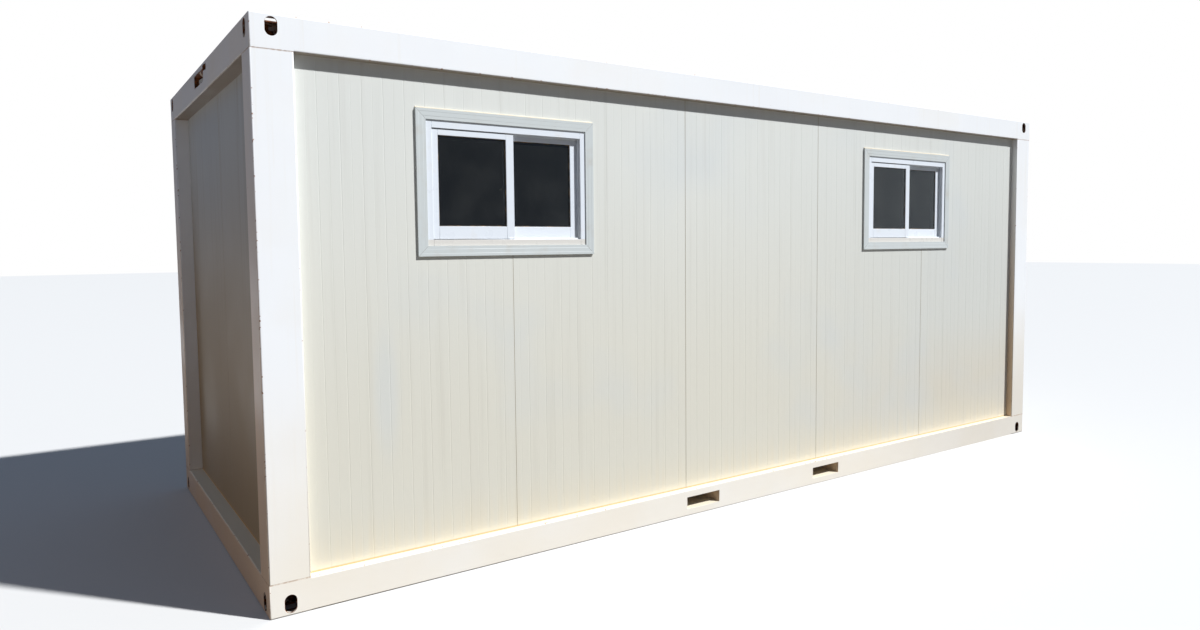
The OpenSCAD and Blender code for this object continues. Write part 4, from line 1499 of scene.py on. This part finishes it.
@dataclass
class EndDoor:
    """Hinged door in the right end wall, built as if it faced the front and turned into place."""

    turn: Matrix = Matrix.Rotation(math.radians(90), 4, "Z")
    radius: float = 2 * MM
    edging_w: float = 38 * MM
    skin_in: float = 2 * MM
    rib_pitch: float = 100 * MM
    rib_w: float = 5 * MM
    rib_d: float = 1.2 * MM
    seal_in: float = 10 * MM
    seal_edge: float = 0.8 * MM
    threshold_in: float = 2 * MM
    threshold_share: float = 0.6
    threshold_edge: float = 0.6 * MM
    handle: LeverHandle = LeverHandle()
    hinge: LiftOffHinge = LiftOffHinge()

    def __post_init__(self) -> None:
        """Look up the boxes of the frame, the leaf and its fittings in the turned frame."""
        self.frame_box = Box.of("door_frame", self.turn)
        self.leaf_box = Box.of("door_leaf", self.turn)
        self.gap = self.leaf_box.low.z - self.frame_box.low.z

    def place(self, bm: bmesh.types.BMesh, name: str, finishes: list[Finish], slot: str,
              nodes: Iterable[str] = ()) -> None:
        """Turn a shape from the front into the end wall and publish it."""
        bmesh.ops.transform(bm, matrix=self.turn, verts=bm.verts)
        publish(bm, name, finishes, nodes)

    def build(self) -> None:
        """Build the door with its frame and fittings."""
        self.frame()
        self.leaf()
        self.seal()
        self.handles()
        self.hinges()

    def frame(self) -> None:
        """Build the frame's jambs and head, and the threshold between the jambs."""
        jamb = self.leaf_box.low.x - self.frame_box.low.x - self.gap
        head = self.frame_box.high.z - self.leaf_box.high.z - self.gap
        bm = bmesh.new()
        mitred_ring(bm, self.frame_box, Widths(jamb, jamb, 0, head), self.radius, open_bottom=True)
        self.place(bm, "door_frame_profiles", [DOOR_WHITE, MITRE], "door_paint", ["door_frame"])
        bm = bmesh.new()
        low, high = self.frame_box.low, self.frame_box.high
        add_box(bm, Box(Vector((low.x + jamb, low.y + self.threshold_in, low.z)),
                        Vector((high.x - jamb, high.y - self.threshold_in,
                                low.z + self.gap * self.threshold_share))))
        soften(bm, [e for e in bm.edges if is_sharp(e)], self.threshold_edge, 2)
        self.place(bm, "door_threshold", [STAINLESS], "door_metal")

    def leaf(self) -> None:
        """Build the leaf as a ribbed skin in an aluminium edging."""
        box = self.leaf_box
        bm = bmesh.new()
        edging = Widths(self.edging_w, self.edging_w, self.edging_w, self.edging_w)
        butted_ring(bm, box, edging, self.radius)
        inset = Vector((self.edging_w, self.skin_in, self.edging_w))
        infill = Box(box.low + inset, box.high - inset)
        part = bmesh.new()
        add_box(part, infill)
        count = int(infill.size.x / self.rib_pitch)
        first = infill.middle.x - (count - 1) / 2 * self.rib_pitch
        for number in range(count):
            for side in (Side.FRONT, Side.BACK):
                score(part, infill, side, 0, first + number * self.rib_pitch, self.rib_w,
                      self.rib_d)
        for face in part.faces:
            face.material_index = 1
        absorb(bm, part)
        self.place(bm, "door_leaf_panel", [TRIM, DOOR_SKIN], "door_paint", ["door_leaf"])

    def seal(self) -> None:
        """Build the rubber that closes the gap round the leaf."""
        box, gap = self.leaf_box, self.gap
        ring = Box(Vector((box.low.x - gap, box.low.y + self.seal_in, box.low.z)),
                   Vector((box.high.x + gap, box.low.y + 2 * self.seal_in, box.high.z + gap)))
        bm = bmesh.new()
        butted_ring(bm, ring, Widths(gap, gap, 0, gap), self.seal_edge, open_bottom=True)
        self.place(bm, "door_seal", [RUBBER], "door_paint")

    def handles(self) -> None:
        """Build a lever handle with its plate and lock cylinder on each face of the leaf."""
        sizes = self.handle
        whole = Box.of("door_handles", self.turn)
        half = sizes.plate_w / 2
        neck = Vector((whole.high.x - half, 0, whole.middle.z))
        bm = bmesh.new()
        for face, out in ((self.leaf_box.low.y, -1), (self.leaf_box.high.y, 1)):
            reach = (whole.low.y if out < 0 else whole.high.y) - face
            part = bmesh.new()
            far = face + out * sizes.plate_t
            add_box(part, Box(Vector((neck.x - half, min(face, far), whole.low.z)),
                              Vector((neck.x + half, max(face, far), whole.high.z))))
            soften(part, [e for e in part.edges if abs(e.verts[0].co.y - e.verts[1].co.y) > MM],
                   sizes.plate_round, 5)
            soften(part, [e for e in part.edges if is_sharp(e)], sizes.plate_edge, 2)
            absorb(bm, part)
            axis = Vector((0, out, 0))
            root = Vector((neck.x, far, neck.z))
            add_rod(bm, root, root + axis * sizes.rose_h, sizes.rose_r, 32)
            stem = abs(reach) - sizes.plate_t - sizes.neck_short
            add_rod(bm, root, root + axis * stem, sizes.neck_r, 24)
            part = bmesh.new()
            end = face + reach
            near = end - out * sizes.lever_t
            add_box(part, Box(Vector((whole.low.x, min(end, near), neck.z - sizes.neck_r)),
                              Vector((neck.x + sizes.neck_r, max(end, near),
                                      neck.z + sizes.neck_r))))
            soften(part, [e for e in part.edges if is_sharp(e)], sizes.lever_edge, 4)
            absorb(bm, part)
            lock = Vector((neck.x, far, neck.z - sizes.lock_down))
            add_rod(bm, lock, lock + axis * sizes.lock_h, sizes.lock_r, 24)
            for sign in (-1, 1):
                screw = Vector((neck.x, far, whole.middle.z + sign * sizes.screw_off))
                add_rod(bm, screw, screw + axis * sizes.screw_h, sizes.screw_r, 14)
        self.place(bm, "door_lever_handles", [STAINLESS], "door_metal", ["door_handles"])

    def hinges(self) -> None:
        """Build three lift-off hinges: two flaps with screws and a knuckle in three lengths."""
        sizes = self.hinge
        whole = Box.of("door_hinges", self.turn)
        height, radius = sizes.height, sizes.knuckle_r
        axis_y = self.leaf_box.low.y - radius
        bm = bmesh.new()
        for middle in (whole.low.z + height / 2, whole.middle.z, whole.high.z - height / 2):
            for sign in (-1, 1):
                side = Box(Vector((whole.middle.x - whole.size.x / 2,
                                   axis_y + radius - sizes.flap_t, middle - height / 2)),
                           Vector((whole.middle.x - sizes.flap_gap, axis_y + radius,
                                   middle + height / 2)))
                if sign > 0:
                    shift = Vector((whole.size.x / 2 + sizes.flap_gap, 0, 0))
                    side = Box(side.low + shift, side.high + shift)
                part = bmesh.new()
                add_box(part, side)
                soften(part, [e for e in part.edges if is_sharp(e)], sizes.flap_edge, 2)
                absorb(bm, part)
                for share in sizes.screw_up:
                    at = Vector((whole.middle.x + sign * whole.size.x * sizes.screw_across,
                                 side.low.y, middle + share * height))
                    add_rod(bm, at, at - Vector((0, sizes.screw_h, 0)), sizes.screw_r, 12)
            for start, end in sizes.knuckles:
                add_rod(bm, Vector((whole.middle.x, axis_y, middle + start * height)),
                        Vector((whole.middle.x, axis_y, middle + end * height)), radius, 28)
        self.place(bm, "door_lift_off_hinges", [STAINLESS], "door_metal", ["door_hinges"])


# ---------------------------------------------------------------------------------------------
# Studio
# ---------------------------------------------------------------------------------------------

@dataclass
class Studio:
    """Plain pale floor, a key light and a soft panel from the right, a low warm card on the left,
    a soft fill and the camera.
    """

    floor_size: float = 120.0
    floor_colour: str = "#dad9d6"
    bounce_colour: str = "#5f574d"
    bounce_drop: float = 2 * MM
    key_from: tuple[float, float, float] = (0.85, -1.0, 1.45)
    key_strength: float = 5.12
    key_colour: tuple[float, float, float] = (0.98, 1.0, 1.03)
    key_angle: float = math.radians(2.0)
    fill_colour: tuple[float, float, float, float] = (0.118, 0.147, 0.204, 1.0)
    side_at: tuple[float, float, float] = (12.0, -8.6, 2.6)
    side_size: float = 4.5
    side_power: float = 44.0
    side_colour: tuple[float, float, float] = (0.86, 0.95, 1.0)
    card_at: tuple[float, float, float] = (-7.6, -0.6, 0.35)
    card_size: tuple[float, float] = (4.0, 0.6)
    card_power: float = 18.0
    card_colour: tuple[float, float, float] = (1.0, 0.66, 0.42)
    backdrop: tuple[float, float, float, float] = (1.0, 1.0, 1.0, 1.0)
    camera_at: tuple[float, float, float] = (-3.7812, -4.8955, 1.6078)
    camera_yaw: float = math.radians(34.3805)
    camera_pitch: float = math.radians(-3.7465)
    camera_roll: float = math.radians(-0.5376)
    lens: float = 24.6436
    sensor: float = 36.0
    shift: tuple[float, float] = (-0.00278, -0.01309)

    def build(self) -> None:
        """Build the floor, the lights and the camera.

        The pale floor is what shows, and a darker sheet just below it is what throws light back
        up, so that the cabin's shaded sides stay as deep as they are on bare ground.
        """
        floor = self.sheet("studio_floor", self.floor_colour, 0.0)
        floor.visible_diffuse = False
        floor.visible_shadow = False
        bounce = self.sheet("studio_bounce_sheet", self.bounce_colour, -self.bounce_drop)
        bounce.visible_camera = False
        bounce.visible_glossy = False
        bounce.visible_transmission = False
        self.light()
        self.camera()

    def sheet(self, name: str, colour: str, level: float) -> bpy.types.Object:
        """Lay a flat sheet over the whole studio and return it."""
        bm = bmesh.new()
        laid = bmesh.ops.create_grid(bm, x_segments=1, y_segments=1, size=self.floor_size / 2)
        bmesh.ops.translate(bm, vec=Vector((0, 0, level)), verts=laid["verts"])
        mesh = bpy.data.meshes.new(name)
        bm.to_mesh(mesh)
        bm.free()
        finish = Plain(name + "_paint", colour=colour, soiled=colour, roughness=0.9)
        mesh.materials.append(finish.material())
        sheet = bpy.data.objects.new(name, mesh)
        bpy.context.scene.collection.objects.link(sheet)
        return sheet

    def light(self) -> None:
        """Add the key light, a panel on the right, a low card on the left and the world's fill."""
        key = bpy.data.lights.new("key", "SUN")
        key.energy = self.key_strength
        key.color = self.key_colour
        key.angle = self.key_angle
        lamp = bpy.data.objects.new("key", key)
        lamp.rotation_euler = Vector(self.key_from).to_track_quat("Z", "Y").to_euler()
        bpy.context.scene.collection.objects.link(lamp)
        self.panel("side_panel", self.side_at, (self.side_size, self.side_size), self.side_power,
                   self.side_colour)
        self.panel("ground_card", self.card_at, self.card_size, self.card_power, self.card_colour)
        world = bpy.data.worlds.new("studio")
        world.use_nodes = True
        tree = world.node_tree
        tree.nodes.clear()
        seen = add_node(tree, "LightPath").outputs["Is Camera Ray"]
        colour = mixed(tree, seen, self.fill_colour, self.backdrop)
        sky = add_node(tree, "Background", {"Color": colour, "Strength": 1.0}).outputs[0]
        add_node(tree, "OutputWorld", {"Surface": sky})
        bpy.context.scene.world = world
        bpy.context.scene.view_settings.view_transform = "Standard"

    def panel(self, name: str, place: tuple[float, float, float], size: tuple[float, float],
              power: float, colour: tuple[float, float, float]) -> None:
        """Add a soft panel of light that faces the cabin and that the camera doesn't see.

        Args:
            name: name of the light.
            place: middle of the panel.
            size: its width and height.
            power: its power in watts.
            colour: colour of its light.
        """
        light = bpy.data.lights.new(name, "AREA")
        light.shape = "RECTANGLE"
        light.size, light.size_y = size
        light.energy, light.color = power, colour
        lamp = bpy.data.objects.new(name, light)
        lamp.location = place
        lamp.rotation_euler = Vector(place).to_track_quat("Z", "Y").to_euler()
        lamp.visible_camera = False
        bpy.context.scene.collection.objects.link(lamp)

    def camera(self) -> None:
        """Place the camera at the front left corner, a little above eye height."""
        eye = bpy.data.cameras.new("camera")
        eye.lens = self.lens
        eye.sensor_width = self.sensor
        eye.shift_x, eye.shift_y = self.shift
        camera = bpy.data.objects.new("camera", eye)
        turn = (Matrix.Rotation(-self.camera_yaw, 4, "Z")
                @ Matrix.Rotation(math.radians(90) + self.camera_pitch, 4, "X")
                @ Matrix.Rotation(self.camera_roll, 4, "Z"))
        camera.matrix_world = Matrix.Translation(self.camera_at) @ turn
        bpy.context.scene.collection.objects.link(camera)
        bpy.context.scene.camera = camera


def main() -> None:
    """Build the cabin piece by piece, then the studio round it."""
    logging.basicConfig(level=logging.INFO, format="%(name)s: %(message)s")
    SteelFrame().build()
    CableInlet().build()
    PanelWalls().build()
    RoofDeck().build()
    Boards().build()
    Joists().build()
    windows = [SlidingWindow("left"), SlidingWindow("right")]
    for window in windows:
        window.build()
    CrescentLatches().build(windows)
    EndDoor().build()
    Studio().build()


if __name__ == "__main__":
    main()
